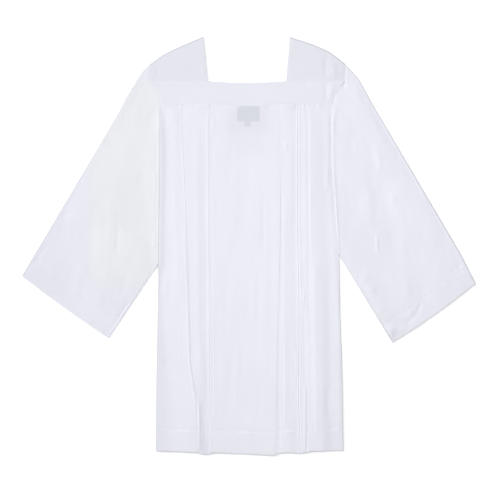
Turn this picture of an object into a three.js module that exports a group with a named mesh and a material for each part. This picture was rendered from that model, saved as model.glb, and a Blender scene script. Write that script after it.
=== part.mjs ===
// A square-yoked surplice laid out flat: a white choir and server's vestment with
// wide sleeves, a square neck and inverted pleats on both sides of a plain centre
// panel. Every cut piece is a wall of cloth of its own: the back lies on the surface,
// the front lies on the back, and the straps and sleeves are folded round both.
//
// Millimetres. +X is to the right as it is seen from above, +Y is towards the neck
// and +Z is up. The origin is on the surface, under the middle of the garment.

import * as THREE from 'three';

// ---------------------------------------------------------------- driving sizes

const CLOTH = 1.0; // wall of the single cloth
const HEMMED = 1.6; // wall where the edge is turned up twice
const YOKE = 1.6; // wall of the straps and bands, which are cut double
const SEAM = 0.35; // between two pieces that are sewn edge to edge
const LAYER = 0.35; // between two layers that lie on each other
const FOLD_HOLLOW = 1.2; // free height inside a sleeve's folded edge
const STRAP_HOLLOW = 0.6; // the same inside a pressed strap
const CROWN = 1.3; // how much higher a sleeve lies away from its edges
const CROWN_REACH = 40; // distance from its edges at which a sleeve has that height
const PITCH = HEMMED + LAYER; // from each layer of the body to the next
const STRAP_CROWN = 0.5; // how much the front of a strap domes
const CENTRE_SAG = 0.7; // how much the centre panel sinks between its folded edges
const STRIP_DOME = 0.5; // how much the narrow strip beside it stands up

const SHOULDER_TIP = 461; // Y of the neck end of the left strap, the highest point
const STRAP_SEAM = 363; // Y of the seam between straps and bands
const PANEL_TOP = 312; // Y of the seam between bands and panels
const HEM_EDGE = -449; // Y of the lower edge at the side seams
const HEM_DEPTH = 50; // turned-up hem of the body
const CUFF_HEM = 42; // turned-up hem of a sleeve
const NECK_SAG = 4; // how far the neck edge of a band dips in the middle
const UNDERLAY = 25; // how far a pleat's cloth runs back under its folded edge
const NARROW_UNDERLAY = 14; // the same under the narrow strip and the right side
const UNDERLAY_LIFT = 1.5; // how much shorter that hidden cloth is at the hem
const LEVEL_MARGIN = 6; // how far past its underlay a side panel stays level
const BAND_RISE = 3.4; // how much the front band rises to the pleats sewn into it
const BAND_ROUNDING = 0.6; // how fast it does so from its ends: 1 is a plain half wave
const STRAP_STEPS = 8; // sections across a strap
const ARM_STEPS = 12; // straight stretches of a sleeve's rounded upper edge
const CUFF_HEM_SHARE = 0.9; // sections up to here are single cloth, past it the hem
const LONGEST_STEP = 0.12; // the largest share of an armhole with no point inside it
const SHARPEST_MITRE = 0.5; // keeps a wall's corners from running out into spikes
const FOLD_STEPS = 4; // straight stretches round a folded edge

// Where the sections have points, as shares of each stretch.
const SLOPE_STOPS = [0, 0.2, 0.42, 0.68, 1]; // a side panel, from its seam to full height
const LEVEL_STOPS = [0.35, 0.7]; // the same panel, on to its folded edge
const STRETCH_STOPS = [0.03, 0.25, 0.5, 0.75, 0.97]; // the centre panel and the insets
const NARROW_STOPS = [0.1, 0.5, 0.9]; // the strip and the gaps beside it
const BACK_STOPS = [0, 0.2, 0.4, 0.6, 0.8, 1]; // the back, from seam to seam
const NECK_STOPS = [0, 0.25, 0.5, 0.75, 1]; // the neck edge of a band
const BAND_SIDE_STOPS = [0, 0.35, 0.65]; // a band from its armhole to the neck corner
const BAND_DOWN_STOPS = [0, 0.38, 1]; // a band from the neck to the panel
const STRAP_DOWN_STOPS = [1, 0.66, 0.33]; // a strap from its seam up to its fold
const SLEEVE_STOPS = [0, 0.05, 0.1, 0.16, 0.23, 0.32, 0.43, 0.55, 0.68, 0.8, 0.896, CUFF_HEM_SHARE, 1];

const CLOTH_COLOUR = 0xecedf3;
const LABEL_COLOUR = 0xd6dae2;

// The body from the yoke down: where the side seams and the folded edges of the pleats
// lie. From the left they are the left side panel's, the two of the centre panel, the
// two of the narrow strip and the right side panel's.
const BODY_COLUMNS = [
  'y', 'left', 'outerLeft', 'innerLeft', 'innerRight', 'stripLeft', 'stripRight', 'outerRight', 'right',
];
const BODY = [
  [312, -194.5, -148.5, -89.0, 68.2, 70.8, 106.7, 123.2, 186.0],
  [277, -194.5, -147.3, -89.0, 68.2, 70.8, 106.7, 123.2, 182.6],
  [189, -195.0, -144.0, -88.7, 68.2, 70.8, 106.3, 123.2, 184.5],
  [79, -197.0, -139.0, -88.0, 68.2, 70.8, 106.5, 123.6, 192.5],
  [-19, -198.7, -135.0, -87.0, 67.8, 70.8, 107.8, 124.5, 200.2],
  [-40, -199.2, -134.2, -86.9, 67.1, 70.8, 108.5, 125.4, 200.5],
  [-141, -201.2, -131.3, -85.8, 63.8, 70.2, 110.0, 127.6, 201.4],
  [-251, -203.2, -128.7, -85.8, 61.2, 68.9, 109.1, 130.2, 204.7],
  [-295, -203.9, -122.5, -85.8, 60.5, 68.9, 109.0, 130.9, 205.8],
  [-339, -204.4, -116.6, -85.8, 59.8, 68.9, 108.9, 131.3, 206.6],
  [-398, -204.8, -113.5, -86.4, 59.4, 69.5, 111.0, 131.9, 207.4],
  [-400, -204.8, -113.4, -86.4, 59.4, 69.5, 111.1, 132.0, 207.4],
  [-449, -205.2, -112.2, -87.0, 58.3, 70.8, 112.2, 132.7, 208.0],
].map((row) => Object.fromEntries(row.map((value, i) => [BODY_COLUMNS[i], value])));

// How far below HEM_EDGE each stretch of the front hangs, from its left to its right.
const HEM_DROP = {
  leftSide: [2, 5.5],
  leftInset: [7, 11, 10],
  centre: [5.5, 8.5, 12],
  narrowGap: [9, 8, 7],
  strip: [6, 5.5, 7.5],
  rightGap: [7.5, 6, 5],
  rightSide: [2.5, 2],
};

// Each side's own corners and edges, because the garment isn't laid quite evenly.
// Points are [x, y]. The shoulder runs from the neck tip to the strap's outer end,
// the arm from there to the cuff, and a cuff's edge bows out by cuffBow in its middle.
const SIDES = {
  left: {
    sign: -1,
    neckTip: [-100, SHOULDER_TIP],
    neckCorner: [-90, STRAP_SEAM],
    shoulder: [[-141.9, 443.3], [-185.9, 422.4]],
    strapEnd: [-219, 399],
    strapCorner: [-219, STRAP_SEAM],
    bandCorner: [-194.5, 325],
    arm: [[-232.4, 385], [-247.5, 363], [-260.7, 341], [-276, 314.6], [-289.3, 288.2]],
    cuffTop: [-499.5, -66],
    cuffBottom: [-308.5, -203.5],
    cuffBow: 2,
    underarm: -40,
  },
  right: {
    sign: 1,
    neckTip: [89.5, 460],
    neckCorner: [81.5, STRAP_SEAM],
    shoulder: [[115.5, 452.1], [144.1, 442.2], [179.3, 425.7]],
    strapEnd: [210, 402],
    strapCorner: [210, STRAP_SEAM],
    bandCorner: [188, 328],
    arm: [[223.8, 387.5], [241, 367.5], [255.5, 342.1], [269.8, 315.7], [285.5, 289], [463, -12]],
    cuffTop: [499.5, -82.5],
    cuffBottom: [316, -213],
    cuffBow: 3.5,
    underarm: -19,
  },
};

// The largest soft folds: low rounded ridges, or troughs where the rise is negative,
// along a line of points. Each is about twice its reach wide and fades at its ends.
const SOFT_FOLDS = [
  { name: 'right side roll', through: [[134, 290], [140, -40], [142, -440]], reach: 7, rise: 0.9 },
  { name: 'right side crease', through: [[144, 277], [144, 35]], reach: 6, rise: -0.5 },
  { name: 'right side trough', through: [[150, -20], [166, -119], [170, -370]], reach: 9, rise: -1.6 },
  { name: 'left side roll', through: [[-172, 230], [-160, -430]], reach: 14, rise: 0.6 },
  { name: 'centre roll', through: [[-40, 260], [-30, -440]], reach: 18, rise: 0.4 },
  { name: 'centre trough', through: [[25, 76], [25, -140]], reach: 9, rise: -0.5 },
  { name: 'left sleeve fold', through: [[-250, 250], [-330, -60]], reach: 16, rise: 0.7 },
  { name: 'left cuff fold', through: [[-330, 60], [-390, -110]], reach: 14, rise: 0.5 },
  { name: 'right sleeve fold', through: [[240, 260], [262, 10]], reach: 14, rise: 0.8 },
  { name: 'right sleeve trough', through: [[300, 190], [330, -70]], reach: 16, rise: -0.8 },
  { name: 'right cuff fold', through: [[318, -188], [340, -170], [378, -118]], reach: 8, rise: 1.0 },
];

const LABEL = { x: -2, top: 310, width: 50, height: 36, wall: 1.0 };
const SIZE_TAB = { x: -4, width: 19, height: 11, wall: 1.0 };

// ------------------------------------------------------------------ small tools

const mix = (a, b, share) => a + (b - a) * share;
const mixPoint = (a, b, share) => [mix(a[0], b[0], share), mix(a[1], b[1], share)];
const distance = (a, b) => Math.hypot(b[0] - a[0], b[1] - a[1]);
const smooth = (share) => share * share * (3 - 2 * share);
const bowedPoint = (a, b, share, bow) => {
  const length = distance(a, b);
  const out = bow * Math.sin(Math.PI * share);
  const [x, y] = mixPoint(a, b, share);
  return [x - out * (b[1] - a[1]) / length, y + out * (b[0] - a[0]) / length];
};
const clamp01 = (value) => Math.min(1, Math.max(0, value));

// How far a place is from the nearest point of a line.
function offLine(place, line) {
  return Math.min(...line.slice(1).map((to, i) => {
    const from = line[i];
    const along = ((place[0] - from[0]) * (to[0] - from[0]) + (place[1] - from[1]) * (to[1] - from[1]))
      / distance(from, to) ** 2;
    return distance(mixPoint(from, to, clamp01(along)), place);
  }));
}

// How much the soft folds lift the cloth at a place.
function softRise(x, y) {
  return SOFT_FOLDS.reduce((rise, fold) => (
    rise + fold.rise * Math.exp(-((offLine([x, y], fold.through) / fold.reach) ** 2))
  ), 0);
}

// A straight-sided route through points, read by its share of the whole length.
function route(points) {
  const reached = [0];
  for (let i = 1; i < points.length; i += 1) {
    reached.push(reached[i - 1] + distance(points[i - 1], points[i]));
  }
  const length = reached[reached.length - 1];
  const at = (share) => {
    const goal = share * length;
    const found = reached.findIndex((r) => r >= goal);
    const i = found < 0 ? points.length - 1 : Math.max(1, found);
    return mixPoint(points[i - 1], points[i], (goal - reached[i - 1]) / (reached[i] - reached[i - 1]));
  };
  return { at, length, shares: reached.map((r) => r / length) };
}

// A route that reaches its cuff hem at CUFF_HEM_SHARE, however long it is, so that
// the line of that share on a sleeve lies along a hem of constant depth.
function hemmedRoute(points) {
  const whole = route(points);
  const single = whole.length - CUFF_HEM;
  return (share) => {
    const reached = share < CUFF_HEM_SHARE
      ? (share / CUFF_HEM_SHARE) * single
      : single + ((share - CUFF_HEM_SHARE) / (1 - CUFF_HEM_SHARE)) * CUFF_HEM;
    return whole.at(reached / whole.length);
  };
}

// A surface in plan between four edges that meet at their ends: across runs along
// near and far, down runs along start and end.
function patch({ start, end, near, far }) {
  return (across, down) => [0, 1].map((axis) => (
    mix(near(across)[axis], far(across)[axis], down)
    + mix(start(down)[axis], end(down)[axis], across)
    - mix(
      mix(near(0)[axis], far(0)[axis], down),
      mix(near(1)[axis], far(1)[axis], down),
      across,
    )
  ));
}

// A smooth edge through points, sampled as short straight stretches.
function rounded(points, steps) {
  const curve = new THREE.SplineCurve(points.map(([x, y]) => new THREE.Vector2(x, y)));
  return curve.getPoints(steps).map((p) => [p.x, p.y]);
}

// The two sides of a wall whose middle follows a path. A path's points are
// { run, z }, and each side is the path moved by half a wall along its own normal.
function bothSides(path, wall, closed = false) {
  const count = path.length;
  const normal = (a, b) => {
    const length = Math.hypot(b.run - a.run, b.z - a.z);
    return { run: -(b.z - a.z) / length, z: (b.run - a.run) / length };
  };
  const half = wall / 2;
  const moved = path.map((point, i) => {
    const before = closed || i > 0 ? path[(i + count - 1) % count] : null;
    const after = closed || i < count - 1 ? path[(i + 1) % count] : null;
    const first = before ? normal(before, point) : normal(point, after);
    const second = after ? normal(point, after) : first;
    const sum = { run: first.run + second.run, z: first.z + second.z };
    const length = Math.hypot(sum.run, sum.z);
    const unit = { run: sum.run / length, z: sum.z / length };
    const reach = half / Math.max(SHARPEST_MITRE, unit.run * first.run + unit.z * first.z);
    return { run: unit.run * reach, z: unit.z * reach };
  });
  const shifted = (way) => path.map((point, i) => ({
    ...point,
    run: point.run + way * moved[i].run,
    z: point.z + way * moved[i].z,
  }));
  return [shifted(1), shifted(-1)];
}

// A folded edge seen end on: points round half a circle from one heading to the other.
function turn(centreRun, centreZ, radius, fromDegrees, toDegrees) {
  return Array.from({ length: FOLD_STEPS + 1 }, (_, i) => {
    const angle = THREE.MathUtils.degToRad(mix(fromDegrees, toDegrees, i / FOLD_STEPS));
    return { run: centreRun + radius * Math.cos(angle), z: centreZ + radius * Math.sin(angle) };
  });
}

// ------------------------------------------------------------- walls into meshes

// A closed wall between two grids of points, face[row][column] and back[row][column].
// On a ring the last column joins the first.
function wallGeometry(face, back, ring = false) {
  const rows = face.length;
  const columns = face[0].length;
  const positions = [face, back].flat(2).flat();
  const at = (side, row, column) => (side * rows + row) * columns + (column % columns);
  const index = [];
  const quad = (a, b, c, d) => index.push(a, b, c, a, c, d);
  const lastRow = rows - 1;
  const spans = ring ? columns : columns - 1;
  for (let column = 0; column < spans; column += 1) {
    const next = column + 1;
    for (let row = 0; row < lastRow; row += 1) {
      quad(at(0, row, column), at(0, row + 1, column), at(0, row + 1, next), at(0, row, next));
      quad(at(1, row, column), at(1, row, next), at(1, row + 1, next), at(1, row + 1, column));
    }
    quad(at(0, 0, column), at(0, 0, next), at(1, 0, next), at(1, 0, column));
    quad(at(0, lastRow, next), at(0, lastRow, column), at(1, lastRow, column), at(1, lastRow, next));
  }
  for (let row = 0; row < lastRow && !ring; row += 1) {
    quad(at(0, row + 1, 0), at(0, row, 0), at(1, row, 0), at(1, row + 1, 0));
    quad(at(0, row, spans), at(0, row + 1, spans), at(1, row + 1, spans), at(1, row, spans));
  }
  if (enclosed(positions, index) < 0) index.reverse();
  const geometry = new THREE.BufferGeometry();
  geometry.setAttribute('position', new THREE.Float32BufferAttribute(positions, 3));
  geometry.setIndex(index);
  geometry.computeVertexNormals();
  return geometry;
}

// The volume inside a closed mesh, negative where its faces point inwards.
function enclosed(positions, index) {
  const corner = (i) => new THREE.Vector3().fromArray(positions, 3 * index[i]);
  let volume = 0;
  for (let i = 0; i < index.length; i += 3) {
    volume += corner(i).dot(corner(i + 1).cross(corner(i + 2))) / 6;
  }
  return volume;
}

function piece(name, geometry, colour = CLOTH_COLOUR) {
  const material = new THREE.MeshStandardMaterial({ color: colour, roughness: 0.9, metalness: 0 });
  material.side = THREE.DoubleSide;
  const mesh = new THREE.Mesh(geometry, material);
  mesh.name = name;
  return mesh;
}

// ------------------------------------------------------------------- the panels

const wallAt = (y) => (y < HEM_EDGE + HEM_DEPTH ? HEMMED : CLOTH);

// One section across the front, from side seam to side seam. The cloth runs over a
// side panel to its folded edge, back under it and out again as the inset, under the
// next panel and back to its folded edge, and so on to the other side.
function frontSection(row) {
  const wall = wallAt(row.y);
  const low = PITCH + HEMMED / 2; // middle of the layer that lies on the back
  const middle = low + PITCH;
  const top = middle + PITCH;
  const radius = PITCH / 2;
  const inward = wall / 2 + radius; // from a fold's outside to the centre of its turn
  const flat = (run, z, drop) => ({ run, z: z + (z > middle ? softRise(run, row.y) : 0), drop });
  const bend = (points, drop) => points.map((point) => ({ ...point, drop }));

  const sidePanel = (seam, fold, way, underlay, drops) => {
    const clear = fold + way * (underlay + LEVEL_MARGIN);
    return SLOPE_STOPS.map((share) => flat(
      mix(seam, clear, share),
      mix(low, top, smooth(share)),
      mix(drops[0], drops[1], share / 2),
    )).concat(LEVEL_STOPS.map((share) => flat(
      mix(clear, fold + way * inward, share),
      top,
      mix(drops[0], drops[1], (1 + share) / 2),
    )));
  };
  const outwardFold = (fold, way, drop) => {
    // from the top layer at a folded edge down to the hidden layer under it
    const degrees = way > 0 ? [90, 270] : [90, -90];
    return bend(turn(fold + way * inward, top - radius, radius, ...degrees), drop);
  };
  const hiddenFold = (fold, way, underlay, drop) => {
    // from the hidden layer down to the inset, where the cloth turns out again
    const degrees = way > 0 ? [90, -90] : [90, 270];
    return bend(turn(fold + way * (underlay - inward), low + radius, radius, ...degrees), drop);
  };
  const pleat = (fold, way, underlay, drop) => (
    // both turns of one folded edge, from the top layer to the inset
    [...outwardFold(fold, way, drop), ...hiddenFold(fold, way, underlay, drop - UNDERLAY_LIFT)]
  );
  const stretch = (from, to, z, drops, puff = 0, stops = NARROW_STOPS) => stops.map((share) => flat(
    mix(from, to, share),
    z + puff * Math.sin(Math.PI * share) ** 2,
    share < 0.5 ? mix(drops[0], drops[1], 2 * share) : mix(drops[1], drops[2], 2 * share - 1),
  ));

  const { leftSide, leftInset, centre, narrowGap, strip, rightGap, rightSide } = HEM_DROP;
  const centreFrom = row.innerLeft + UNDERLAY;
  const centreTo = row.innerRight - UNDERLAY;
  const stripFrom = row.stripLeft + NARROW_UNDERLAY;
  const stripTo = row.stripRight - NARROW_UNDERLAY;
  return [
    ...sidePanel(row.left, row.outerLeft, -1, UNDERLAY, leftSide),
    ...pleat(row.outerLeft, -1, UNDERLAY, leftSide[1]),
    ...stretch(row.outerLeft, row.innerLeft, low, leftInset, 0, STRETCH_STOPS),
    ...pleat(row.innerLeft, 1, UNDERLAY, centre[0]).reverse(),
    ...stretch(centreFrom, centreTo, top, centre, -CENTRE_SAG, STRETCH_STOPS),
    ...pleat(row.innerRight, -1, UNDERLAY, centre[2]),
    ...stretch(row.innerRight, row.stripLeft, low, narrowGap),
    ...pleat(row.stripLeft, 1, NARROW_UNDERLAY, strip[0]).reverse(),
    ...stretch(stripFrom, stripTo, top, strip, STRIP_DOME),
    ...pleat(row.stripRight, -1, NARROW_UNDERLAY, strip[2]),
    ...stretch(row.stripRight, row.outerRight, low, rightGap),
    ...pleat(row.outerRight, 1, NARROW_UNDERLAY, rightSide[0]).reverse(),
    ...sidePanel(row.right, row.outerRight, 1, NARROW_UNDERLAY, rightSide.toReversed()).reverse(),
  ];
}

function frontPanel() {
  const face = [];
  const back = [];
  for (const row of BODY) {
    const share = (PANEL_TOP - row.y) / (PANEL_TOP - HEM_EDGE);
    const [upper, lower] = bothSides(frontSection(row), wallAt(row.y));
    const placed = (side) => side.map((p) => [p.run, row.y - p.drop * share, p.z]);
    face.push(placed(upper));
    back.push(placed(lower));
  }
  return piece('front_panel', wallGeometry(face, back));
}

// The back lies flat under the front, cut to the same side seams.
function backPanel() {
  const layer = (z) => BODY.map((row) => BACK_STOPS.map((share) => [
    mix(row.left, row.right, share),
    row.y,
    z(wallAt(row.y)),
  ]));
  return piece('back_panel', wallGeometry(layer((wall) => wall), layer(() => 0)));
}

// --------------------------------------------------------------------- the yoke

// A band of the yoke: across it runs from armhole to armhole, and down from the neck
// and the strap seams to the panel.
function band(name, heightAt) {
  const { left, right } = SIDES;
  const seam = PANEL_TOP + SEAM;
  const leftEnd = route([left.strapCorner, left.bandCorner, [BODY[0].left, seam]]);
  const rightEnd = route([right.strapCorner, right.bandCorner, [BODY[0].right, seam]]);
  const neckShare = (x) => (x - left.neckCorner[0]) / (right.neckCorner[0] - left.neckCorner[0]);
  const place = patch({
    near: (across) => {
      const x = mix(left.strapCorner[0], right.strapCorner[0], across);
      return [x, STRAP_SEAM - NECK_SAG * Math.sin(Math.PI * clamp01(neckShare(x)))];
    },
    far: (across) => [mix(BODY[0].left, BODY[0].right, across), seam],
    start: leftEnd.at,
    end: rightEnd.at,
  });
  const columns = [
    ...BAND_SIDE_STOPS.map((share) => mix(left.strapCorner[0], left.neckCorner[0], share)),
    ...NECK_STOPS.map((share) => mix(left.neckCorner[0], right.neckCorner[0], share)),
    ...BAND_SIDE_STOPS.map((share) => mix(right.strapCorner[0], right.neckCorner[0], share)).reverse(),
  ].map((x) => (x - left.strapCorner[0]) / (right.strapCorner[0] - left.strapCorner[0]));
  // each armhole's corner has a row of its own, so that both edges keep their shape
  const rows = [...BAND_DOWN_STOPS, leftEnd.shares[1], rightEnd.shares[1]].sort((a, b) => a - b);
  const layer = (extra) => rows.map((down) => columns.map((across) => (
    [...place(across, down), heightAt(across, down) + extra]
  )));
  return piece(name, wallGeometry(layer(YOKE), layer(0)));
}

// The front band rises from the pressed neck edge to the pleats that are sewn into it.
function frontBandHeight(across, down) {
  const overPleats = Math.sin(Math.PI * clamp01(across)) ** BAND_ROUNDING;
  return YOKE + STRAP_HOLLOW + BAND_RISE * overPleats * smooth(down);
}

// A strap is one doubled piece over the shoulder: the back layer, the fold along the
// shoulder and the front layer.
function strap(name, side) {
  const shoulder = route(rounded([side.neckTip, ...side.shoulder, side.strapEnd], STRAP_STEPS));
  const seam = STRAP_SEAM + SEAM;
  const place = patch({
    near: shoulder.at,
    far: (share) => [mix(side.neckCorner[0], side.strapCorner[0], share), seam],
    start: (down) => mixPoint(side.neckTip, [side.neckCorner[0], seam], down),
    end: (down) => mixPoint(side.strapEnd, [side.strapCorner[0], seam], down),
  });
  const radius = (YOKE + STRAP_HOLLOW) / 2;
  const height = YOKE / 2 + radius;
  const face = [];
  const back = [];
  for (let i = 0; i <= STRAP_STEPS; i += 1) {
    const across = i / STRAP_STEPS;
    const length = distance(place(across, 0), place(across, 1));
    const dome = (share) => STRAP_CROWN * Math.sin(Math.PI * share) * Math.sin(Math.PI * across);
    const path = [
      ...STRAP_DOWN_STOPS.map((share) => ({ run: share * length, z: YOKE / 2 })),
      ...turn(height, height, radius, 270, 90),
      ...STRAP_DOWN_STOPS.toReversed().map((share) => ({
        run: share * length,
        z: height + radius + dome(share),
      })),
    ];
    const [outer, inner] = bothSides(path, YOKE);
    const placed = (points) => points.map((p) => [...place(across, p.run / length), p.z]);
    face.push(placed(outer));
    back.push(placed(inner));
  }
  return piece(name, wallGeometry(face, back));
}

// ------------------------------------------------------------------ the sleeves

// A sleeve is a flattened tube. Its near edge is the fold along the arm, its far edge
// the seam under it, and it runs from the armhole to the hemmed cuff.
function sleeve(name, side, bodySide) {
  const outwards = (point) => [point[0] + side.sign * SEAM, point[1]];
  const armhole = route([
    side.strapEnd,
    side.strapCorner,
    side.bandCorner,
    ...BODY.filter((row) => row.y >= side.underarm).map((row) => [row[bodySide], row.y]),
  ].map(outwards));
  const arm = [outwards(side.strapEnd), ...side.arm];
  const underarm = outwards([BODY.find((row) => row.y === side.underarm)[bodySide], side.underarm]);
  const place = patch({
    near: hemmedRoute([...rounded(arm, ARM_STEPS), side.cuffTop]),
    far: hemmedRoute([underarm, side.cuffBottom]),
    start: armhole.at,
    end: (down) => bowedPoint(side.cuffTop, side.cuffBottom, down, side.cuffBow * side.sign),
  });
  // the ring's points follow the armhole's own corners, with the long stretches halved
  const corners = armhole.shares;
  const stops = corners.slice(1, -1).flatMap((share, i) => {
    const next = corners[i + 2];
    return next - share > LONGEST_STEP ? [share, mix(share, next, 0.5)] : [share];
  });
  const face = [];
  const back = [];
  for (const along of SLEEVE_STOPS) {
    const wall = along < CUFF_HEM_SHARE ? CLOTH : HEMMED;
    const radius = (wall + FOLD_HOLLOW) / 2;
    const edge = wall / 2 + radius;
    const length = distance(place(along, 0), place(along, 1));
    const height = (share) => {
      const [x, y] = place(along, share);
      const fromEdge = Math.min(share, 1 - share) * length;
      const lift = smooth(clamp01((fromEdge - edge) / CROWN_REACH));
      return edge + radius + lift * (CROWN + softRise(x, y));
    };
    const ring = [
      ...turn(edge, edge, radius, 270, 90),
      ...stops.map((share) => ({ run: share * length, z: height(share) })),
      ...turn(length - edge, edge, radius, 90, -90),
      ...stops.toReversed().map((share) => ({ run: share * length, z: wall / 2 })),
    ];
    const [outer, inner] = bothSides(ring, wall, true);
    const placed = (points) => points.map((p) => [...place(along, p.run / length), p.z]);
    face.push(placed(outer));
    back.push(placed(inner));
  }
  return piece(name, wallGeometry(face, back, true));
}

// -------------------------------------------------------------------- the label

// A woven label and its size tab, sewn inside the back at the yoke seam.
function tag(name, { x, top, width, height, wall }) {
  const geometry = new THREE.BoxGeometry(width, height, wall);
  geometry.translate(x, top - height / 2, CLOTH + LAYER + wall / 2);
  return piece(name, geometry, LABEL_COLOUR);
}

// ------------------------------------------------------------------ the garment

const surplice = new THREE.Group();
surplice.name = 'surplice';
surplice.add(
  backPanel(),
  frontPanel(),
  band('back_yoke_band', () => 0),
  band('front_yoke_band', frontBandHeight),
  strap('left_shoulder_strap', SIDES.left),
  strap('right_shoulder_strap', SIDES.right),
  sleeve('left_sleeve', SIDES.left, 'left'),
  sleeve('right_sleeve', SIDES.right, 'right'),
  tag('label', LABEL),
  tag('size_tab', { ...SIZE_TAB, top: LABEL.top - LABEL.height - SEAM }),
);

export default surplice;
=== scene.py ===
"""A square-yoked surplice of fine white cloth, pressed and laid out flat.

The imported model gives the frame. Each cut piece of the garment is made here as a thin
sheet of cloth on the form of its solid, with its folded pleats, seams, hems and soft
creases. The tables are in millimetres, as the pattern is, and the meshes in metres.
+X is to the right as seen from above, +Y towards the neck, +Z up off the table.
"""

import logging
import math
from dataclasses import dataclass, field
from enum import Enum
from typing import Any, Callable, Iterable, Sequence

import bmesh
import bpy
import numpy as np
from mathutils import Matrix, Vector
from mathutils.bvhtree import BVHTree


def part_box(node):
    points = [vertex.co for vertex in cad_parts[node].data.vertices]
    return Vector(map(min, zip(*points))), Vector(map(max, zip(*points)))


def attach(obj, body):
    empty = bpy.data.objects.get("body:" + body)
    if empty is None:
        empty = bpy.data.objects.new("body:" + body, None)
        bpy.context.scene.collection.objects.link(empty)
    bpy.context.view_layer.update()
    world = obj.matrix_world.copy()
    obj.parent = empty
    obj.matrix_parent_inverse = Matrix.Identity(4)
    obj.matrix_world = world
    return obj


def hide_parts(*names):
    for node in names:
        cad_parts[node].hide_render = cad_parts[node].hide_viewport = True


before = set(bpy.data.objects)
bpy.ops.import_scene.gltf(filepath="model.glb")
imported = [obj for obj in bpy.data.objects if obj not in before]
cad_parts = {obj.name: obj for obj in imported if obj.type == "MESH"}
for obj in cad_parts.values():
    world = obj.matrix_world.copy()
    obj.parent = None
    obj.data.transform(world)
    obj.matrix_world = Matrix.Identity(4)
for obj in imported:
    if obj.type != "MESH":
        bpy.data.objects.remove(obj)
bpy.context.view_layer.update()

Array = np.ndarray
Point = tuple[float, float]
Line = tuple[Point, ...]

log = logging.getLogger("surplice")

# ------------------------------------------------------------------ shared sizes, mm

MM = 0.001
CLOTH = 0.24  # the single cloth
DOUBLED = 0.5  # the yoke, which is cut double
PITCH = 0.29  # from each layer of the pleats to the next
PRESSED_PITCH = 0.27  # the same where the pleats are sewn into the yoke
RIM = 0.25  # from a cut edge to the next line of points
TOP = 6.65  # middle of the front's highest layer
STRAP_SEAM = 363.0  # y of the seams between straps and bands
PANEL_TOP = 312.0  # y of the seams between bands and body
HEM_EDGE = -449.0
HEM_DEPTH = 50.0
HEM_LINE = HEM_EDGE + HEM_DEPTH
CUFF_HEM = 42.0
CUFF_HEM_SHARE = 0.9  # the share of a sleeve's rows at which its cuff hem starts
UNDERLAY = 25.0  # how far a pleat's hidden cloth runs in from its folded edge
NARROW_UNDERLAY = 14.0  # the same beside the right gaps
NECK_SAG = 4.0  # how far the neck's edge hangs down between the straps
BAND_RISE = 3.4  # from the ends of the yoke seam up to its middle
BAND_ROUNDING = 0.6
SEAM_LAP = 0.25  # how far a piece laps the one that it is sewn to
LOWEST_BAND = 3.0  # middle of the front band along the neck
ARMHOLE_DIP = 0.15  # how deep the yoke dips at its armholes
ARMHOLE_DIP_WIDTH = 2.4
TURN_COLUMNS = 7  # lines of points round a folded edge of a strap or sleeve


class Zone(Enum):
    """The stretches of cloth that carry creases of their own."""

    LEFT_SIDE = "left side panel"
    LEFT_INSET = "left inset"
    CENTRE = "centre panel"
    NARROW_GAP = "narrow gap"
    STRIP = "narrow strip"
    RIGHT_GAP = "right gap"
    RIGHT_SIDE = "right side panel"


# --------------------------------------------------------------------- small formulas


def mix(a: Any, b: Any, share: Any) -> Any:
    """Goes from a to b by a share."""
    return a + (b - a) * share


def smooth(share: Any) -> Any:
    """Eases a share in and out between 0 and 1, and holds it outside."""
    held = np.clip(share, 0.0, 1.0)
    return held * held * (3.0 - 2.0 * held)


def bell(distance: Any) -> Any:
    """A rounded bump, 1 at distance 0 and nearly 0 at 2."""
    return np.exp(-np.square(distance))


def stops(length: float, coarse: float, fine: float, edge: float) -> Array:
    """Spreads points over a stretch, closer together near both its ends.

    Args:
        length: The stretch's length.
        coarse: The spacing in its middle.
        fine: The spacing at its ends.
        edge: How far the fine spacing reaches in from each end.

    Returns:
        The points' shares of the length, from 0 to 1.
    """
    edge = min(edge, length / 2)
    near = np.linspace(0.0, edge, max(2, round(edge / fine) + 1))
    count = max(1, math.ceil((length - 2 * edge) / coarse))
    middle = np.linspace(edge, length - edge, count + 1)
    rims = (RIM, length - RIM)
    return np.unique(np.round(np.concatenate([near, middle, length - near, rims]) / length, 6))


def half_turn() -> Array:
    """The angles of the lines of points round a folded edge, in one row."""
    return np.linspace(-0.5, 0.5, TURN_COLUMNS + 2)[None, 1:-1] * math.pi


def with_corners(shares: Array, corners: Iterable[float], clear: float) -> Array:
    """Adds corners to a spread of shares, in place of those that nearly meet them.

    Args:
        shares: The spread.
        corners: The shares to add.
        clear: How far from a corner the spread is kept.

    Returns:
        All the shares in order.
    """
    corners = list(corners)
    kept = [share for share in shares if all(abs(share - corner) > clear for corner in corners)]
    return np.array(sorted([*kept, *corners]))


def catmull(points: Sequence[Point], steps: int) -> Array:
    """A smooth curve through points.

    Args:
        points: The points that it passes.
        steps: How many straight stretches it is sampled in.

    Returns:
        The sampled points, as an array of steps + 1 rows.
    """
    held = np.array([points[0], *points, points[-1]], dtype=float)
    place = np.linspace(0.0, len(points) - 1, steps + 1)
    i = np.minimum(place.astype(int), len(points) - 2)
    t = (place - i)[:, None]
    before, start, end, after = (held[i + k] for k in range(4))
    lean_in = (end - before) / 2
    lean_out = (after - start) / 2
    cubic = (2 * start - 2 * end + lean_in + lean_out) * t**3
    square = (-3 * start + 3 * end - 2 * lean_in - lean_out) * t**2
    return cubic + square + lean_in * t + start


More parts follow.
